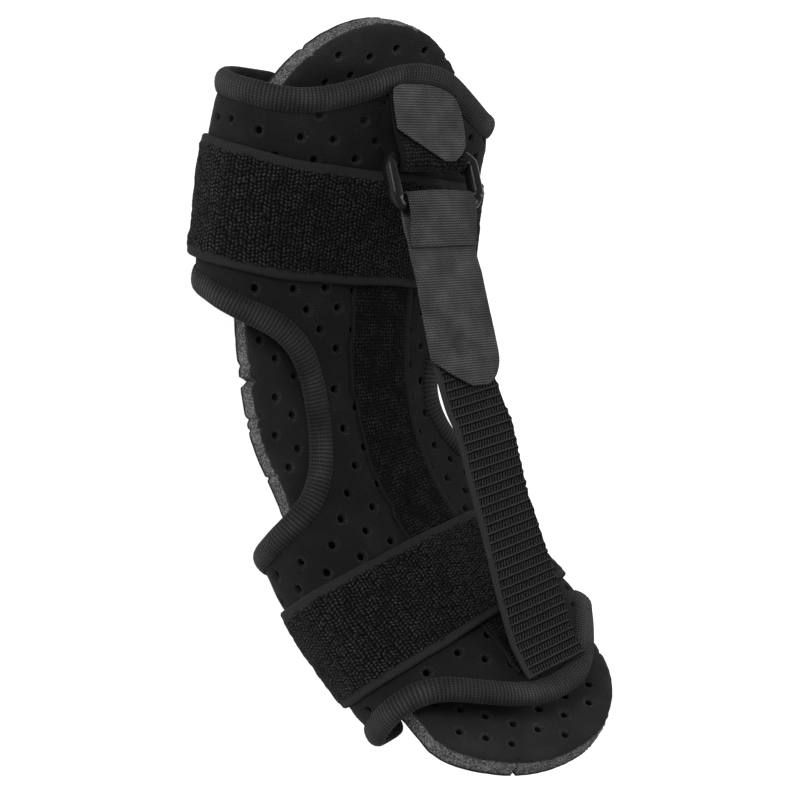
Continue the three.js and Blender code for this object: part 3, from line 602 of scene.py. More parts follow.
def ribbed_loops(net, u, v, fuzz, rib_step):
    """Slanted loops in rows, dark valleys and a light line between them: height and tone."""
    along = net.math("DIVIDE", v, rib_step)
    rib = net.math("FRACT", along)
    slide = net.total((rib, 0.8), (net.math("FLOOR", along), 0.37))
    slant = net.math("FRACT", net.plus(net.math("DIVIDE", u, 1.6), slide))
    bars = net.eased(net.away(slant, 0.5), 0.10, 0.42, 1.0, 0.0)
    bars = net.times(bars, net.eased(fuzz, 0.30, 0.60, 0.25, 1.0))
    line = net.eased(net.away(rib, 0.5), 0.34, 0.47, 0.0, 1.0)
    line = net.times(line, net.eased(fuzz, 0.30, 0.58, 0.45, 1.0))
    valley = net.eased(net.away(rib, 0.19), 0.02, 0.13, 0.25, 1.0)
    height = net.times(net.total((bars, 0.8), (fuzz, 0.3)), valley)
    tone = net.times(net.total((bars, 0.78), (fuzz, 0.24)), valley)
    return height, net.math("MAXIMUM", tone, net.times(line, 0.92))


def loop_cloth(name, shades, edge_shades, cell=1.6, zigzag=0.0, flat=0.45, rib_step=None):
    """Loop pile: bright loops over a dark ground; attribute pile is 0 on the smooth woven edge."""
    net = Net(name)
    uv, u, v = net.cloth()
    drift = net.vector("MULTIPLY", net.noise(uv, 0.16, 2, 0.6, "Color"), (1.3, 1.3, 0))
    tops, own = loop_beads(net, u, v, cell, zigzag, drift)
    fuzz = net.noise(uv, 2.6, 3, 0.7)
    if rib_step:
        height, tone = ribbed_loops(net, u, v, fuzz, rib_step)
    else:
        matted = net.eased(net.noise(uv, 0.10, 3, 0.65), 0.38, 0.62, flat, 1.0)
        loops = net.times(net.times(tops, net.plus(net.times(own, 0.45), 0.55)), matted)
        height = net.plus(loops, net.times(fuzz, 0.25))
        tone = net.total((loops, 0.80), (fuzz, 0.22))
    pile = net.value("pile")
    edge_tone = net.total((net.wave(u, 1.1), 0.12), (fuzz, 0.9))
    colour = net.blend(pile, net.ramp(edge_tone, edge_shades), net.ramp(tone, shades))
    height = net.mixed(pile, net.times(edge_tone, 0.25), height)
    return net.finish(colour, height, 0.0007, net.mixed(tops, 1.0, 0.8))


def webbing_cloth(name, shades):
    """Flat tape: fine cross ribs broken by lengthwise yarns."""
    net = Net(name)
    uv, u, v = net.cloth()
    pitch = 1.1
    rows = net.wave(v, pitch, net.times(net.noise(uv, 0.5), 1.2))
    yarns = net.wave(u, 1.4, net.times(net.math("FLOOR", net.math("DIVIDE", v, pitch)), math.pi))
    fuzz = net.noise(uv, 1.7, 3, 0.7)
    height = net.total((rows, 0.55), (yarns, 0.32), (fuzz, 0.9))
    tone = net.total((height, 0.36), (net.noise(uv, 0.09), 0.6))
    return net.finish(net.ramp(tone, shades), height, 0.00028, net.mixed(fuzz, 0.75, 0.95), 0.03, 0.06)


def binding_cloth(name, shades):
    """Elastic tape: soft ribs across its width under a fine fuzz, with a painted highlight along the top of
    its roll and painted shade towards its sides.
    """
    net = Net(name)
    uv, u, v = net.cloth()
    ribs = net.wave(v, RIB, net.times(net.noise(uv, 0.35), 2.4))
    fuzz = net.noise(uv, (1.3, 1.9, 1), 3, 0.75)
    height = net.total((ribs, 0.30), (net.wave(u, 1.2), 0.15), (fuzz, 1.15))
    # Painted light: the tone rises along the top of the rolled edge as a painted highlight and drops
    # towards both sides as painted shade.
    crest_painted_light = net.eased(net.away(u, 7.0), 1.0, 6.5, 0.07, -0.10)
    tone = net.plus(net.total((height, 0.36), (net.noise(uv, 0.06), 0.5)), crest_painted_light)
    return net.finish(net.ramp(tone, shades), height, 0.0004, net.mixed(fuzz, 0.8, 1.0), 0.08)


def foam_core(name, shades, hole_wall_painted_shade):
    """Cut foam: open cells, light speckle, darker pits, and painted shade on the walls inside the holes."""
    net = Net(name)
    at = net.solid()
    grain = net.noise(at, 1100.0, 3, 0.75)
    height = net.total((net.cells(at, 1350.0, 1.0)[0], 0.8), (grain, 1.0))
    tone = net.total((height, 0.6), (net.noise(at, 90.0), 0.25))
    # The walls inside the holes, where cut_edge is 0, take darker shades: painted shade in the holes.
    colour = net.blend(net.value("cut_edge"), net.ramp(tone, hole_wall_painted_shade), net.ramp(tone, shades))
    return net.finish(colour, height, 0.0008, net.mixed(grain, 0.9, 1.0), 0.02)


def gloss_plastic(name, shades):
    """Moulded plastic, faintly scuffed along one way."""
    net = Net(name)
    at = net.solid()
    scuff = net.noise(net.vector("MULTIPLY", at, (1, 6, 1)), 260.0, 4, 0.7)
    colour = net.ramp(net.noise(at, 60.0), shades)
    return net.finish(colour, scuff, 0.00003, net.eased(scuff, 0.35, 0.75, 0.20, 0.38), 0.0, 0.18)


# Each stop of a shade is a place on the tone and a grey
MATERIALS = {
    "knit": knit_cloth("knit_body", ((0.25, 0.0065), (0.55, 0.0125), (0.85, 0.030))),
    "face": knit_cloth("pad_cloth", ((0.25, 0.0125), (0.55, 0.022), (0.85, 0.046))),
    # Foam: shades of the cut side, then darker ones as painted shade on the walls inside the holes.
    "foam": foam_core(
        "foam_edge", ((0.30, 0.008), (0.55, 0.040), (0.80, 0.20)), ((0.3, 0.004), (0.8, 0.012)),
    ),
    "binding": binding_cloth("elastic_binding", ((0.20, 0.006), (0.55, 0.026), (0.95, 0.105))),
    "patch": loop_cloth(
        "loop_patch", ((0.1, 0.003), (0.45, 0.0075), (0.95, 0.026)), ((0.2, 0.008), (0.8, 0.018)),
        cell=1.55, flat=0.35,
    ),
    "strap": loop_cloth(
        "loop_strap", ((0.1, 0.003), (0.45, 0.012), (0.95, 0.048)), ((0.2, 0.012), (0.8, 0.032)),
        zigzag=0.45, flat=0.7,
    ),
    # The anchor's woven edges and underside take darker shades than the strap's: painted shade for its back
    # layer behind the buckle.
    "anchor": loop_cloth(
        "loop_anchor_shaded_back", ((0.1, 0.003), (0.45, 0.009), (0.95, 0.036)), ((0.2, 0.005), (0.8, 0.011)),
        flat=0.7,
    ),
    "ribbed": loop_cloth(
        "ribbed_strap", ((0.1, 0.002), (0.50, 0.008), (0.95, 0.078)), ((0.2, 0.018), (0.8, 0.042)),
        rib_step=PULL_RIB,
    ),
    "webbing": webbing_cloth("grey_tape", ((0.1, 0.018), (0.5, 0.055), (0.9, 0.140))),
    "buckle": gloss_plastic("buckle_plastic", ((0.2, 0.004), (0.8, 0.008))),
}


def dress(piece, material, slot, *nodes):
    piece.data.materials.append(MATERIALS[material])
    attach(piece, "root")
    if nodes:
        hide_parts(*nodes)
    return piece


# Part of the script: panel and binding

def rim_raw():
    """The panel's free rim as (s, w): along the top, down one side, along the toe edge, up the other."""
    top_w = np.linspace(-BACK_REACH["calf"], BACK_REACH["calf"], 121)
    toe_w = np.linspace(BACK_REACH["foot"], -BACK_REACH["foot"], 121)
    top = np.stack((read_soft(TOP_EDGE, "w", top_w, "s", 5), top_w), -1)
    toe = np.stack((read_soft(TOE_EDGE, "w", toe_w, "s", 5), toe_w), -1)
    side = np.array(SIDE_EDGE, float)
    side[-1, 0] = toe[0, 0]
    side[0, 0] = top[-1, 0]
    left = side[::-1] * (1, -1)
    deeper = RIGHT_CUT["deep"] * ease(1 - np.abs(side[:, 0] - RIGHT_CUT["s"]) / RIGHT_CUT["reach"])
    right = side - np.stack((np.zeros(len(side)), deeper), -1)
    return np.vstack((top[:-1], right[:-1], toe[:-1], left[:-1]))


def metric(s, w):
    """How a point of the sleeve moves for each millimetre of s and of w."""
    down = (sleeve(s + 1, w, 0) - sleeve(s - 1, w, 0)) / 2
    around = (sleeve(s, w + 1, 0) - sleeve(s, w - 1, 0)) / 2
    return down, around


RIM_BLUR = 4.0


def even_rim(step):
    """The rim rounded off, at even steps of its real length, with the length at each point."""
    rim = loop_blur(spaced_line(rim_raw(), 1.0, closed=True)[0], RIM_BLUR)
    both = np.hstack((sleeve(rim[:, 0], rim[:, 1], 0), rim))
    closed = np.vstack((both, both[:1]))
    length = run_length(closed[:, :3])
    count = int(round(length[-1] / step))
    at = np.arange(count) * length[-1] / count
    return read_rows(at, length, closed[:, 3:]), at, length[-1]


def rim_steps(rim, blur):
    """For each rim point, the (s, w) step that goes one millimetre into the panel."""
    down, around = metric(rim[:, 0], rim[:, 1])
    facing = unit(np.cross(around, down))
    ahead = np.roll(rim, -2, 0) - np.roll(rim, 2, 0)
    run = unit(down * ahead[:, :1] + around * ahead[:, 1:])
    inward = unit(loop_blur(np.cross(facing, run), blur))
    dd, dr, rr = ((down * down).sum(-1), (down * around).sum(-1), (around * around).sum(-1))
    bd, br = (inward * down).sum(-1), (inward * around).sum(-1)
    size = dd * rr - dr * dr
    return np.stack(((bd * rr - br * dr) / size, (br * dd - bd * dr) / size), -1)


STRAP_TOPS = {"upper": 23.0, "lower": 188.6}
# The binding's section: how far in from the rim, and how high
BINDING_PROFILE = np.array([
    (10.9, -0.45), (10.7, 0.10), (9.9, 0.72), (8.4, 1.42), (6.6, 1.92), (4.6, 2.12), (2.8, 1.85),
    (1.2, 1.00), (0.1, -0.35), (-0.15, -1.5), (0.0, -2.6), (0.9, -3.75), (2.8, -4.4), (5.4, -4.6),
    (8.6, -4.1), (10.6, -3.35), (10.8, -2.75), (6.0, -2.75), (1.6, -2.6), (1.2, -1.5), (1.6, -0.6),
    (6.0, -0.45),
])
BINDING_OUTSIDE = 16
STEPS_PER_RIB = 4


def pressed(s, w):
    """How flat the binding lies, from 0 to 1: under the straps, by the calf hem and beside the ankle."""
    straps = sum(ease((29 - np.abs(s - top - STRAP_WIDE / 2)) / 3) for top in STRAP_TOPS.values())
    hem = ease((np.abs(w) - 58) / 25) * ease((s - 55) / 10) * ease((112 - s) / 10)
    ankle = ease((w - 20) / 5) * ease((s - 88) / 12) * ease((158 - s) / 12)
    return np.maximum(np.maximum(straps, hem), ankle)


def build_binding():
    rim, at, total = even_rim(RIB / STEPS_PER_RIB)
    count = int(round(total / RIB)) * STEPS_PER_RIB
    even = np.arange(count) * total / count
    rim = read_rows(even, np.append(at, total), np.vstack((rim, rim[:1])))
    steps = rim_steps(rim, 10.0)
    d, h = BINDING_PROFILE[:, 0], BINDING_PROFILE[:, 1]
    s = rim[:, :1] + steps[:, :1] * d
    w = rim[:, 1:] + steps[:, 1:] * d
    swell = 0.05 * np.cos(even / RIB * 2 * math.pi)[:, None] + 0.22 * line_noise(even / 17, 11)[:, None]
    swell = np.where(h > -1.5, 1, -1) * swell * np.sin(np.clip((10.9 - d) / 11, 0, 1) * math.pi) ** 0.5
    height = np.where(h > 0, h * mix(1, 0.62, pressed(s, w)), h)
    height = height + np.where(np.arange(len(d)) < BINDING_OUTSIDE, swell, 0)
    around = np.cumsum(np.hypot(np.diff(d, prepend=d[0]), np.diff(h, prepend=h[0])))
    uv = np.stack(np.broadcast_arrays(around[None], even[:, None]), -1)
    piece = ring_mesh("edge_binding_tape", place(sleeve(s, w, height)), uv, closed=True)
    return dress(piece, "binding", "binding", "edge_binding")


def hole_grid(low, high, origin, period):
    """Centres of a staggered grid of holes in a box of the plane."""
    made = []
    half = period / 2
    for row in range(math.floor((low[1] - origin[1]) / half), math.ceil((high[1] - origin[1]) / half) + 1):
        start = origin[0] + (half if row % 2 else 0)
        first = math.floor((low[0] - origin[0]) / period) - 1
        last = math.ceil((high[0] - origin[0]) / period)
        made += [(start + k * period, origin[1] + row * half) for k in range(first, last + 1)]
    return np.array(made)


# Where the lattice of holes starts, and holes placed where they are seen, as (w, s)
PANEL_HOLES = (-24.5, 84.5)
PANEL_SEEN = [
    (-62.8, 77.9), (-45.3, 76.8), (-30.6, 75.3), (-38.7, 85.1), (-23.9, 83.7), (-32.3, 93.0),
    (-26.3, 118.0), (-25.1, 134.2), (-33.0, 142.7), (-24.3, 150.0), (-82.9, 76.2), (-68.6, 11.8),
    (-50.3, 11.7), (-36.1, 10.6), (-44.2, 1.2), (-93.7, 9.9), (-59.8, 21.5), (-43.1, 20.7),
]
# Each hole's rings: how wide, how high on the panel and on the pad, and how frayed
HOLE_RADII = (1.5, 2.0, 2.7, 3.4)
PANEL_SINK = (-1.35, -0.42, 0.14, 0.0)
PAD_SINK = (-0.75, -0.25, 0.06, 0.0)
HOLE_FRAY = (0, 0.6, 1.0)
# How near a lattice hole gives way to a seen one; a net's clearance; the steps of the nets along the
# rim and inside it, how far the panel's net ends under the binding, and how far the holes keep from the rim
SEEN_REACH = 9.0
NET_CLEAR = 1.2
PANEL_NET = {"rim": 2.4, "inside": 3.4, "tuck": 1.9, "margin": 11.5}
PAD_NET = {"rim": 1.1, "inside": 4.6, "margin": 5.5}


def settle_holes(holes, jitter, seed, seen, outline, rim, margin):
    """The lattice, a little uneven, with its nearest holes moved to the places seen, clear of the rim."""
    holes = holes + np.random.RandomState(seed).uniform(-jitter, jitter, holes.shape)
    seen = np.array(seen)
    holes = np.vstack((holes[nearest(holes, seen) > SEEN_REACH], seen))
    holes = holes[inside(holes, outline)]
    return holes[nearest(holes, rim) > margin]


def build_panel():
    rim, _, _ = even_rim(PANEL_NET["rim"])
    outline = (rim + rim_steps(rim, 3.0) * PANEL_NET["tuck"])[:, ::-1]
    rim = rim[:, ::-1]
    holes = hole_grid(outline.min(0), outline.max(0), PANEL_HOLES, HOLE_PERIOD)
    holes = settle_holes(holes, 0.5, 5, PANEL_SEEN, outline, rim, PANEL_NET["margin"])
    net, tri, ring = cell_sheet(outline, holes, HOLE_RADII, PANEL_NET["inside"])
    w, s = net[:, 0], net[:, 1]
    squeeze = ease((BINDING_WIDE + 5 - nearest(net, rim)) / 6)
    wrinkle = panel_wrinkles(s, w) * (1 - squeeze)
    outer = place(sleeve(s, w, by_ring(ring, PANEL_SINK) + wrinkle - 0.55 * squeeze))
    inner = place(sleeve(s, w, -WALL + by_ring(ring, (0.8, 0.25)) + wrinkle + 0.45 * squeeze))
    piece = shell_from_net("knit_panel", tri, outer, inner, net, {"hole_rim": by_ring(ring, HOLE_FRAY)})
    dress(piece, "knit", "knit_body", "brace_body")


def panel_wrinkles(s, w):
    """Soft puckers of the neoprene: across the instep and beside the patch."""
    pucker = 0.55 * smooth_noise(w / 26, s / 17, 21, 2)
    bend = 0.8 * np.exp(-((s - 150) / 30) ** 2) * np.sin(s / 4.6 + w / 17) * ease((np.abs(w) - 18) / 12)
    return pucker * ease((np.abs(w) - PATCH_HALF) / 8) + 0.35 * bend


# Part of the script: pad

def pad_half(s, side):
    """How far the pad's edge lies from its middle line."""
    top = np.clip(1 - s / PAD_ROUND_TOP, 0, 1)
    toe = np.clip(1 - (PAD_LENGTH - s) / PAD_ROUND_TOE, 0, 1)
    inward = read_soft(PAD_SIDES, "s", s, side, 6)
    return (PAD_HALF - inward) * np.sqrt(1 - top ** 2) * np.sqrt(1 - toe ** 2)


def pad_place(x, s, h):
    """Points of the pad: x across, s down its length, h above its face. In the row frame."""
    s_in = np.clip(s, 0, PAD_LENGTH)
    along, across, out = line_frame(PAD, s_in)
    bow = PAD_BOW * (0.5 - (x / PAD_HALF) ** 2)
    point = pad_point(s_in) + along * (s - s_in)[..., None]
    return place(point + across * x[..., None] + out * (h + bow)[..., None])


def pad_outline(step):
    theta = np.linspace(0, math.pi / 2, 80)
    top = PAD_ROUND_TOP * (1 - np.cos(theta))
    straight = np.linspace(PAD_ROUND_TOP, PAD_LENGTH - PAD_ROUND_TOE, 200)[1:-1]
    toe = PAD_LENGTH - PAD_ROUND_TOE * (1 - np.cos(theta[::-1]))
    s = np.concatenate((top, straight, toe))
    right = np.stack((pad_half(s, "right"), s), -1)
    right[0, 0] = right[-1, 0] = 0
    left = np.stack((-pad_half(s, "left"), s), -1)[::-1][1:-1]
    return spaced_line(np.vstack((right, left)), step, closed=True)


# Nicks in the cut edge: x, s, how deep, half width
NICKS = [
    (-55.5, 158.6, 3.4, 2.2), (-56, 152, 1.2, 1.6), (-57, 174.1, 1.6, 1.4), (-58, 178, 1.0, 1.2),
    (-50, 222, 2.0, 2.2), (-57, 199, 1.3, 1.0), (14, 1.5, 1.6, 1.4), (37, 13.3, 2.2, 1.8),
    (45, 21.5, 2.0, 1.6), (-30, 362, 2.2, 1.0), (12, 366, 1.1, 1.4), (52, 300, 1.2, 1.2),
    (50, 330, 1.0, 1.4), (-40, 14, 1.1, 1.5), (-52, 110, 1.0, 1.5),
]
PAD_HOLES = (-42.2, 150.0)
PAD_SEEN = [
    (-49.5, 141.5), (-42.2, 150.0), (-33.3, 158.9), (-52.4, 157.9), (-45.2, 166.3), (-38.1, 175.0),
    (-49.2, 182.0), (-38.9, 189.6), (-45.9, 196.3), (-29.1, 28.1), (-38.8, 19.0), (4.9, 10.7),
    (21.4, 10.9), (33.8, 11.0),
]


CORE_ROWS = 8


def build_pad():
    outline, at = pad_outline(PAD_NET["rim"])
    ahead = np.roll(outline, -1, 0) - np.roll(outline, 1, 0)
    inward = unit(np.stack((-ahead[:, 1], ahead[:, 0]), -1))
    cut = 0.16 * line_noise(at / 2.6, 31, 2) + 0.35 * line_noise(at / 21, 32) + 0.2
    for x, s, deep, wide in NICKS:
        middle = np.linalg.norm(outline - (x, s), axis=1).argmin()
        gap = np.abs((np.arange(len(at)) - middle) * PAD_NET["rim"])
        cut += deep * np.clip(1 - gap / wide, 0, 1) ** 0.8
    edge = outline + inward * cut[:, None]
    holes = hole_grid((-PAD_HALF, 0), (PAD_HALF, PAD_LENGTH), PAD_HOLES, HOLE_PERIOD)
    holes = settle_holes(holes, 0.4, 8, PAD_SEEN, outline, outline, PAD_NET["margin"])
    net, tri, ring = cell_sheet(edge, holes, HOLE_RADII, PAD_NET["inside"])
    x, s = net[:, 0], net[:, 1]
    sink = by_ring(ring, PAD_SINK)
    swell = 0.25 * smooth_noise(x / 22, s / 22, 41, 2)
    cloths = (
        ("pad_face_cloth", sink + swell - 0.25 * (ring == -1) - 0.2, -0.95 + swell - 0.25 * (ring == 0)),
        ("pad_back_cloth", -PAD_THICK + 0.85 - swell, -PAD_THICK + 0.1 - swell - sink * 0.8),
    )
    for name, upper, lower in cloths:
        layers = (pad_place(x, s, level) for level in (upper, lower))
        cloth = shell_from_net(name, tri, *layers, net, {"hole_rim": by_ring(ring, HOLE_FRAY)})
        dress(cloth, "face", "pad")
    build_core(net, tri, ring, swell)


def build_core(net, tri, ring, swell):
    """The foam between the two cloths, its cut side roughened in several rows."""
    used, tri = compact(tri)
    net, ring, swell = net[used], ring[used], swell[used]
    x, s = net[:, 0], net[:, 1]
    count = len(net)
    edges = free_edges(tri)
    follow = dict(edges)
    before = {b: a for a, b in edges}
    walls = sorted(follow)
    tangent = net[[follow[a] for a in walls]] - net[[before[a] for a in walls]]
    outward = unit(np.stack((tangent[:, 1], -tangent[:, 0]), -1))
    wall = net[walls]
    cut = ring[walls] == -1
    levels = np.linspace(-1.0, -PAD_THICK + 0.9, CORE_ROWS)
    points = [pad_place(x, s, levels[0] + swell), pad_place(x, s, levels[-1] - swell)]
    uv = [net, net]
    rows = [np.arange(count)]
    for k in range(1, CORE_ROWS - 1):
        rough = 0.55 * smooth_noise(wall[:, 0] / 1.7 + 9 * k, wall[:, 1] / 1.7 + 5 * k, 51 + k)
        moved = wall + outward * np.where(cut, rough + 0.15, 0)[:, None]
        points.append(pad_place(moved[:, 0], moved[:, 1], np.full(len(walls), levels[k])))
        uv.append(moved)
        row = np.full(count, -1)
        row[walls] = 2 * count + (k - 1) * len(walls) + np.arange(len(walls))
        rows.append(row)
    rows.append(np.arange(count) + count)
    faces = two_faces(tri, count)
    for upper, lower in zip(rows, rows[1:]):
        faces += [tuple(int(k) for k in (upper[b], upper[a], lower[a], lower[b])) for a, b in edges]
    # cut_edge is 1 on the outer cut side only; the walls inside the holes keep 0 and take the foam's
    # painted shade.
    cut_edge = np.concatenate([np.zeros(2 * count)] + [cut * 1.0] * (CORE_ROWS - 2))
    points, uv = np.vstack(points), np.vstack(uv)
    core = make_mesh("pad_core", points, faces, uv, {"cut_edge": cut_edge}, smooth=False)
    dress(core, "foam", "pad_core", "foam_pad")


# Part of the script: straps on the sleeve

LAP = 46.0
SMOOTH_EDGE = 3.9
PROFILE_BACK = 8
# How far down the calf cuff's lower hem lifts the strap; the foot cuff has none under its strap
CALF_HEM = 67.0
NO_HEM = 400.0


def rounding(edge, reach):
    """How far a rounded edge drops: 1 at the edge, 0 from that far in."""
    return 1 - np.sqrt(1 - (1 - np.clip(edge / reach, 0, 1)) ** 2)


def band_profile(width, thick, step, round_off):
    """A flat closed profile: (across, height, is face) from one edge over the face and back beneath."""
    over = np.linspace(0, width, max(int(width / step), 4) + 1)
    height = thick - round_off * rounding(np.minimum(over, width - over), 1.2)
    under = np.linspace(width - 0.4, 0.4, PROFILE_BACK)
    face = np.stack((over, height, np.ones_like(over)), -1)
    return np.vstack((face, np.stack((under, under * 0, under * 0), -1)))


def strap_height(s, w, girth, reach, hem):
    """How high a strap lies: over the patch in front, the panel's ends behind and the bound edge."""
    front = ease((PATCH_HALF + 12 - np.abs(w)) / 12) * (PATCH_THICK + GAP)
    around = np.minimum(np.abs(w), 2 * girth - np.abs(w))
    flap = ease((around - (reach - BINDING_WIDE - 8)) / 7) * RAISE
    cuff = ease((around - 78) / 12) * ease((s - hem + 5) / 5) * RAISE
    return STRAP_GAP + np.maximum(np.maximum(front, flap), cuff)


def build_strap(name, node, s_top, reach, hem, seed, slip=0.0, widen=0.0):
    """A wrap strap: slip lifts its left side, and widen its upper edge."""
    girth = float(girth_at(s_top + STRAP_WIDE / 2))
    profile = band_profile(STRAP_WIDE, STRAP_THICK, 0.85, 0.9)
    w = np.arange(-girth - LAP / 2, girth + LAP / 2, 0.95)[:, None]
    across, height, is_face = profile.T[:, None]
    s = s_top + across
    scale = girth_at(s) / girth
    near = np.where(w < -girth, w + 2 * girth, w)
    lapped = ease((w - (girth - LAP / 2 - 16)) / 14) * (STRAP_THICK + GAP)
    edge = np.minimum(across, STRAP_WIDE - across)
    fray = 0.5 * smooth_noise(w / 3, w * 0 + across / 40, seed + 3)
    pile = ease((edge - SMOOTH_EDGE + 0.7 + fray) / 0.9) * is_face
    tuft = 0.32 * smooth_noise(w / 1.9, s / 1.9, seed) + 0.22 * smooth_noise(w / 5.5, s / 5.5, seed + 1)
    sag = 0.5 * smooth_noise(w / 38, s / 30, seed + 2)
    face = height - 0.45 * is_face * (1 - pile) + pile * tuft * is_face
    level = strap_height(s, near, girth, reach, hem) + lapped
    wander = 0.6 * line_noise(w / 45, seed + 5) + 0.25 * line_noise(w / 9, seed + 6)
    wander = wander - slip * ease((-w - 40) / 60) * ease((w + girth + 10) / 60)
    wander = wander - widen * (1 - across / STRAP_WIDE)
    points = place(sleeve(s + wander, near * scale, level + face + ease(np.abs(sag) - 0.1) * 0.5))
    uv = np.stack(np.broadcast_arrays(w, across), -1)
    piece = ring_mesh(name, points, uv, {"pile": np.broadcast_to(pile, uv.shape[:2])})
    dress(piece, "strap", "loop_strap", node)


def build_patch():
    """Sleeve of the stay: wavy on one side, sewn down straight on the other."""
    share, thick, is_face = band_profile(1.0, PATCH_THICK, 1 / 40, 0.0).T[:, None]
    s = np.arange(30, 266, 0.9)[:, None]
    left = -PATCH_HALF + 0.9 * line_noise(s / 13, 61) + 0.5 * line_noise(s / 4, 62)
    right = PATCH_HALF + 0.5 * line_noise(s / 18, 63)
    w = mix(left, right, share)
    edge = np.minimum(w - left, right - w)
    pile = ease((edge - 0.8) / 1.2) * ease((right - w - 3.2) / 1.5) * is_face
    tuft = 0.30 * smooth_noise(w / 1.8, s / 1.8, 64) + 0.22 * smooth_noise(w / 5, s / 4, 65)
    round_off = np.where(is_face > 0, 0.75 * (1 - ease(edge / 1.6)), 0)
    height = PATCH_GAP - 0.45 + thick - round_off + pile * tuft
    points = place(sleeve(s, w, height + panel_wrinkles(s, w)))
    uv = np.stack(np.broadcast_arrays(w, s), -1)
    piece = ring_mesh("stay_sleeve_loop", points, uv, {"pile": pile})
    dress(piece, "patch", "loop_patch", "stay_sleeve")


# Part of the script: flat bands in front of the shin

SIDEWAYS = np.array((1.0, 0, 0))


def read_pull(z, column):
    return sum(np.interp(z + k, PULL["z"], PULL[column]) for k in (-4, -2, 0, 2, 4)) / 5


def pull_at(z, behind):
    run = np.array((0, read_pull(z - 2, "y") - read_pull(z + 2, "y"), -4.0))
    run /= np.linalg.norm(run)
    return np.array((read_pull(z, "x"), read_pull(z, "y") + behind * run[2], z - behind * run[1]))


def rows_in_plane(mids):
    """Middle points to (mid, across, face) with the face turned from their own run."""
    mids = np.array(mids, float)
    run = np.gradient(mids, axis=0)
    run[:, 0] = 0
    run = unit(run)
    face = np.stack((np.zeros(len(mids)), -run[:, 2], run[:, 1]), -1)
    return mids, np.broadcast_to(SIDEWAYS, mids.shape).copy(), face


def smooth_path(points, passes):
    points = points.copy()
    for _ in range(passes):
        points[1:-1] = (points[:-2] + 2 * points[1:-1] + points[2:]) / 4
    return points


def band(name, rows, thick, seed, pile_edge=0, rough=0.0, step=0.8, ribs=None, sag=0.0):
    """A flat band from rows of (middle, across, face, low edge, high edge), and its length."""
    mids, across, face, low, high = (np.array(t, float) for t in rows)
    length = run_length(mids)
    at = np.linspace(0, length[-1], int(length[-1] / step) + 1)
    mids = smooth_path(read_rows(at, length, mids), 6)
    across, face = (unit(read_rows(at, length, way)) for way in (across, face))
    low, high = np.interp(at, length, low)[:, None], np.interp(at, length, high)[:, None]
    width = float((high - low).max())
    share, height, is_face = band_profile(1.0, thick, step / width, 0.0).T[:, None]
    if ribs:
        high = high + 0.45 * line_noise(at / 1.1, seed + 7)[:, None]
    x = mix(low, high, share)
    edge = np.minimum(x - low, high - x)
    end = np.minimum(at, length[-1] - at)[:, None]
    v = at[:, None]
    pile = np.broadcast_to(is_face, x.shape)
    if pile_edge:
        pile = ease(((x - low if ribs else edge) - pile_edge) / 0.8) * is_face
    height = height - thick / 2
    height = height - is_face * 0.45 * thick * rounding(np.minimum(edge, end + 0.4), 0.9)
    height = height + pile * rough * smooth_noise(x / 1.7, v / 1.7, seed) * is_face
    if ribs:
        height = height + pile * 0.28 * (np.abs((v / ribs) % 1 - 0.5) * 2) ** 2 * is_face
    height = height + sag * smooth_noise(x / 30, v / 24, seed + 1)
    points = mids[:, None] + across[:, None] * x[..., None] + face[:, None] * height[..., None]
    uv = np.stack(np.broadcast_arrays(x, v), -1)
    return ring_mesh(name, place(points), uv, {"pile": pile}), length[-1]


LOOP_AIR = 0.6


def bar_loop(bar, thick, angles):
    """Middle points of a band that turns round a bar of the buckle."""
    y, z = BUCKLE[bar]
    reach = BUCKLE["bar"] + LOOP_AIR + thick / 2
    return [(0, y + reach * math.cos(angle), z + reach * math.sin(angle)) for angle in angles * DEG]


HEM_END_Z = 84.3
TAB_TIP_Z = 25.2
HEM_BULGE = 1.9
BACK_BULGE = 2.4


def build_webbing():
    """The grey tape: a hem in front, round the lower bar, and the free tab behind it."""
    z_bar = BUCKLE["down"][1]
    hem_face = WEBBING_THICK / 2
    mids = []
    for z in np.arange(HEM_END_Z, z_bar - 3, 2.0):
        _, y, z = pull_at(z, hem_face - HEM_BULGE * float(ease((z - HEM_END_Z - 3) / 11)))
        mids.append((0, y, z))
    mids += bar_loop("down", WEBBING_THICK, np.linspace(20, 200, 17))
    second = hem_face + WEBBING_THICK + GAP
    z_free = np.arange(z_bar - 9, TAB_TIP_Z, -0.8)
    for z in z_free:
        settle = float(ease((HEM_END_Z - 2 - z) / 12))
        apart = BACK_BULGE * float(ease((z - HEM_END_Z) / 10))
        mids.append(pull_at(z, mix(second, hem_face, settle) + apart))
    mids, across, face = rows_in_plane(mids)
    z = mids[:, 2]
    free = np.arange(len(mids)) > len(mids) - len(z_free)
    left = np.clip((z - TAB_TIP_Z) / 12.6, 0, 1)
    right = np.clip((z - TAB_TIP_Z) / 15, 0, 1)
    low = np.where(free, -mix(-3, WEBBING_HALF, left ** 0.80), -WEBBING_HALF)
    broad = WEBBING_HALF + 1.8 * ease((76 - z) / 36)
    high = np.where(free, mix(6, broad, np.sqrt(1 - (1 - right) ** 2)), WEBBING_HALF)
    rows = (mids, across, face, low, high)
    piece, length = band("webbing_tape", rows, WEBBING_THICK, 71, rough=0.06, sag=0.25)
    dress(piece, "webbing", "grey_webbing", "webbing_tab")


PULL_HALF = 18.0


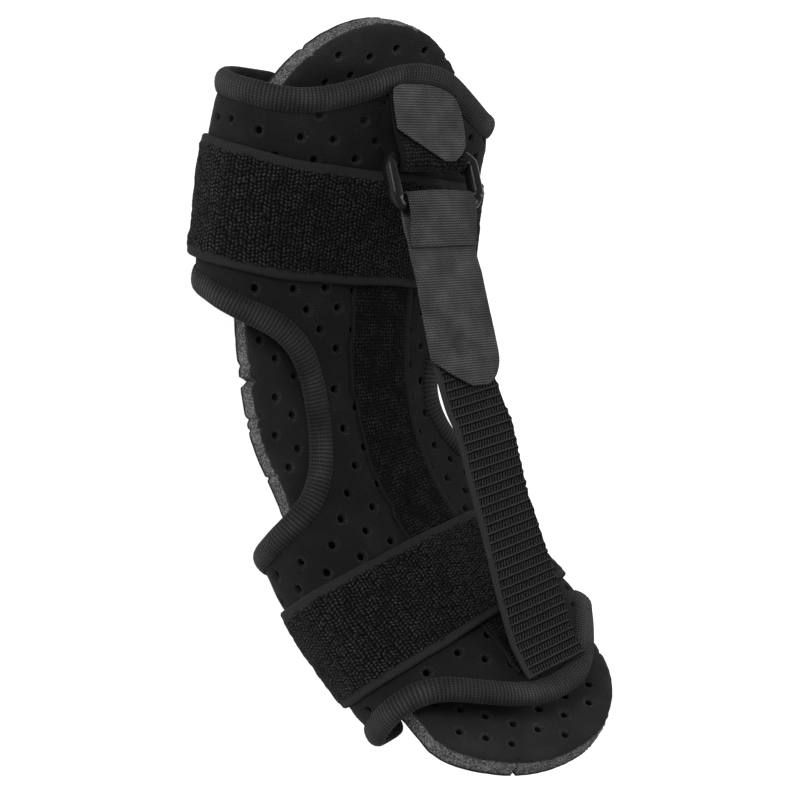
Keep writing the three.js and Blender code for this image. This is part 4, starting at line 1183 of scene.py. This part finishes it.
def build_pull():
    """The ribbed pull strap, from under the grey tape down to the foot cuff."""
    rows = []
    sit = WEBBING_THICK + STRAP_GAP + TENSION_THICK / 2
    toe = unit(sleeve(274.0, PULL_HALF, 0) - sleeve(270.0, -PULL_HALF, 0))
    for z in np.arange(76, -80, -3.0):
        hem = float(ease((z - 66) / 8)) * (WEBBING_THICK + GAP)
        behind = mix(TENSION_THICK / 2, sit, float(ease((z - 8) / 12))) + hem
        run = pull_at(z - 3, 0) - pull_at(z + 3, 0)
        side = mix(SIDEWAYS, toe, float(ease((10 - z) / 90)))
        half = mix(15.9, 18.4, float(ease((-20 - z) / 50)))
        rows.append((pull_at(z, behind), run, side, -half, half + 1.3 * float(ease((z + 30) / 40))))
    lift = GAP + STRAP_GAP + PATCH_THICK + TENSION_THICK / 2
    for s in (267.0, 272.0):
        run = sleeve(s + 2, 0, lift) - sleeve(s - 2, 0, lift)
        side = sleeve(s + 2, PULL_HALF, lift) - sleeve(s - 2, -PULL_HALF, lift)
        rows.append((sleeve(s, 0, lift), run, side, -PULL_HALF, PULL_HALF))
    mids, runs, sides, low, high = (np.array(t, float) for t in zip(*rows))
    runs = unit(runs)
    across = unit(sides - runs * (sides * runs).sum(-1, keepdims=True))
    rows = (mids, across, unit(np.cross(across, runs)), low, high)
    looks = {"pile_edge": 2.2, "rough": 0.26, "step": 0.75, "ribs": PULL_RIB, "sag": 0.5}
    piece, length = band("pull_strap", rows, TENSION_THICK, 81, **looks)
    dress(piece, "ribbed", "ribbed_strap", "tension_strap")


def build_anchor():
    """The loop strap from the calf cuff up round the buckle's upper bar, its pile outward."""
    mids = []
    for s in (-9.0, -5.0, 0.0, 4.0):
        _, y, z = sleeve(s, 0, 0.7 + ANCHOR_THICK / 2)
        mids.append((0, y, z))
    mids += [(0, -9.6, 123.5), (0, -5, 118.8)]
    mids += bar_loop("up", ANCHOR_THICK, np.linspace(-128, 24, 17))
    mids += [(0, 1.8, 125), (0, -1.6, 131), (0, -4.1, 138), (0, -6.4, 147)]
    mids, across, face = rows_in_plane(mids)
    half = np.full(len(mids), WEBBING_HALF)
    rows = (mids, -across, -face, -half, half)
    piece, length = band("anchor_loop", rows, ANCHOR_THICK, 91, pile_edge=1.6, rough=0.22, step=0.7)
    dress(piece, "anchor", "loop_strap", "anchor_strap")


TOP_TAB_THICK = 1.2
# The top tab's rows: y, z, how far left and how far right
TOP_TAB = [
    (-6.8, 150.9, 12, 2), (-5.4, 150.2, 17, 7), (-4.6, 148.6, 18.4, 12), (-3.9, 145.6, 19, 16.6),
    (-2.4, 140, 19, 18.9), (0, 132.6, 18.8, 19.2), (1.6, 129, 13, 18.8), (3.4, 125.6, 7, 17.6),
    (4.8, 122.4, 1.5, 15), (6, 119.6, -4, 10.4),
]


def build_top_tab():
    y, z, left, right = np.array(TOP_TAB, float).T
    mids, across, face = rows_in_plane(np.stack((y * 0, y, z), -1))
    rows = (mids, across, face, -left, right)
    piece, length = band("top_tape", rows, TOP_TAB_THICK, 95, rough=0.05, step=0.7, sag=0.15)
    dress(piece, "webbing", "grey_webbing", "top_tab")


BUCKLE_CORNER = 4.5
BUCKLE_AROUND = 24


def build_buckle():
    """Rings carried round the frame: flat ones along the two bars, squarer ones on the posts."""
    up, down = (np.array((0, *BUCKLE[bar])) for bar in ("up", "down"))
    middle = (up + down) / 2
    rise = unit(up - middle)
    face = np.cross(SIDEWAYS, rise)
    wide_half = BUCKLE["half"] - BUCKLE_CORNER
    tall_half = float(np.linalg.norm(up - middle)) + BUCKLE["bar_tall"] - BUCKLE["bar"] - BUCKLE_CORNER
    arcs = []
    for quarter, (sx, sz) in enumerate(((1, 1), (-1, 1), (-1, -1), (1, -1))):
        angle = (quarter * 90 + np.arange(11) * 9.0) * DEG
        x = sx * wide_half + BUCKLE_CORNER * np.cos(angle)
        arcs.append(np.stack((x, sz * tall_half + BUCKLE_CORNER * np.sin(angle), angle), -1))
    rings = []
    for arc, after in zip(arcs, arcs[1:] + arcs[:1]):
        leg = np.repeat(arc[-1:], 7, 0)
        leg[:, :2] = mix(arc[-1, :2], after[0, :2], np.arange(1, 8)[:, None] / 8)
        rings += [arc, leg]
    x, z, angle = np.vstack(rings).T[..., None]
    side = ease((np.abs(x) - (BUCKLE["half"] - 2.6)) / 2.2)
    around = np.arange(BUCKLE_AROUND) * 2 * math.pi / BUCKLE_AROUND
    c, k = np.cos(around), np.sin(around)
    bulge = mix(1.0, (np.abs(c) ** 3 + np.abs(k) ** 3) ** (-1 / 3), side)
    wide = mix(BUCKLE["bar_tall"], BUCKLE["post"], side) * c * bulge
    deep = mix(BUCKLE["bar"], BUCKLE["post"] + 0.5, side) * k * bulge
    centre = middle + SIDEWAYS * x[..., None] + rise * z[..., None]
    outward = SIDEWAYS * np.cos(angle)[..., None] + rise * np.sin(angle)[..., None]
    points = place(centre + outward * wide[..., None] + face * deep[..., None])
    piece = ring_mesh("slide_buckle", points, np.zeros((*wide.shape, 2)), closed=True)
    dress(piece, "buckle", "buckle_plastic", "buckle")


build_panel()
build_binding()
build_pad()
build_strap("upper_wrap", "upper_strap", STRAP_TOPS["upper"], BACK_REACH["calf"], CALF_HEM, 101, 3.2, 1.4)
build_strap("lower_wrap", "lower_strap", STRAP_TOPS["lower"], BACK_REACH["foot"], NO_HEM, 121)
build_patch()
build_buckle()
build_anchor()
build_top_tab()
build_pull()
build_webbing()


# Part of the script: floor, light, camera

FLOOR_HALF = 30.0


def build_floor():
    corners = [(x * FLOOR_HALF, y * FLOOR_HALF, 0) for x, y in ((-1, -1), (1, -1), (1, 1), (-1, 1))]
    mesh = bpy.data.meshes.new("floor")
    mesh.from_pydata(corners, [], [(0, 1, 2, 3)])
    net = Net("floor_white")
    looks = {
        "Base Color": (0.35, 0.35, 0.35, 1), "Roughness": 0.9, "Specular IOR Level": 0.0,
        "Emission Color": (1, 1, 1, 1), "Emission Strength": 0.95,
    }
    for key, value in looks.items():
        net.put(net.shader.inputs[key], value)
    mesh.materials.append(net.material)
    floor = add_object("floor", mesh)


def to_row(vector):
    return POSE @ np.array(vector)


def area_light(name, leg_place, target, size, power):
    data = bpy.data.lights.new(name, "AREA")
    data.shape = "RECTANGLE"
    data.size, data.size_y = size
    data.energy = power
    light = add_object(name, data)
    spot = Vector(place(leg_place))
    light.location = spot
    light.rotation_mode = "QUATERNION"
    light.rotation_quaternion = (Vector(place(target)) - spot).to_track_quat("-Z", "Y")


# The picture's camera, in the leg's frame, with its focal length in pixels
CAMERA = {
    "at": (-475.08, 553.01, 176.49),
    "right": (0.7712, 0.6332, 0.0657),
    "back": (-0.6302, 0.7447, 0.2197),
    "focal": 1671.7,
}
PICTURE_WIDE = 800


def build_camera():
    data = bpy.data.cameras.new("camera")
    data.sensor_width = 36.0
    data.lens = CAMERA["focal"] * data.sensor_width / PICTURE_WIDE
    data.clip_start, data.clip_end = 0.01, 20
    camera = add_object("camera", data)
    back = unit(to_row(CAMERA["back"]))
    right = to_row(CAMERA["right"])
    right = unit(right - back * right.dot(back))
    up = np.cross(back, right)
    matrix = np.identity(4)
    matrix[:3] = np.stack((right, up, back, place(CAMERA["at"])), -1)
    camera.matrix_world = Matrix(matrix)
    bpy.context.scene.camera = camera


def build_light():
    world = bpy.data.worlds.new("studio")
    world.use_nodes = True
    background = world.node_tree.nodes["Background"]
    background.inputs["Color"].default_value = (1, 1, 1, 1)
    background.inputs["Strength"].default_value = 0.5
    bpy.context.scene.world = world
    centre = (0, 20, 40)
    area_light("key", (-700, 500, 700), centre, (0.5, 0.5), 6)
    area_light("side", (700, 500, 200), centre, (0.12, 0.8), 3)


build_floor()
build_camera()
build_light()
bpy.context.scene.view_settings.view_transform = "Standard"

bpy.context.view_layer.update()
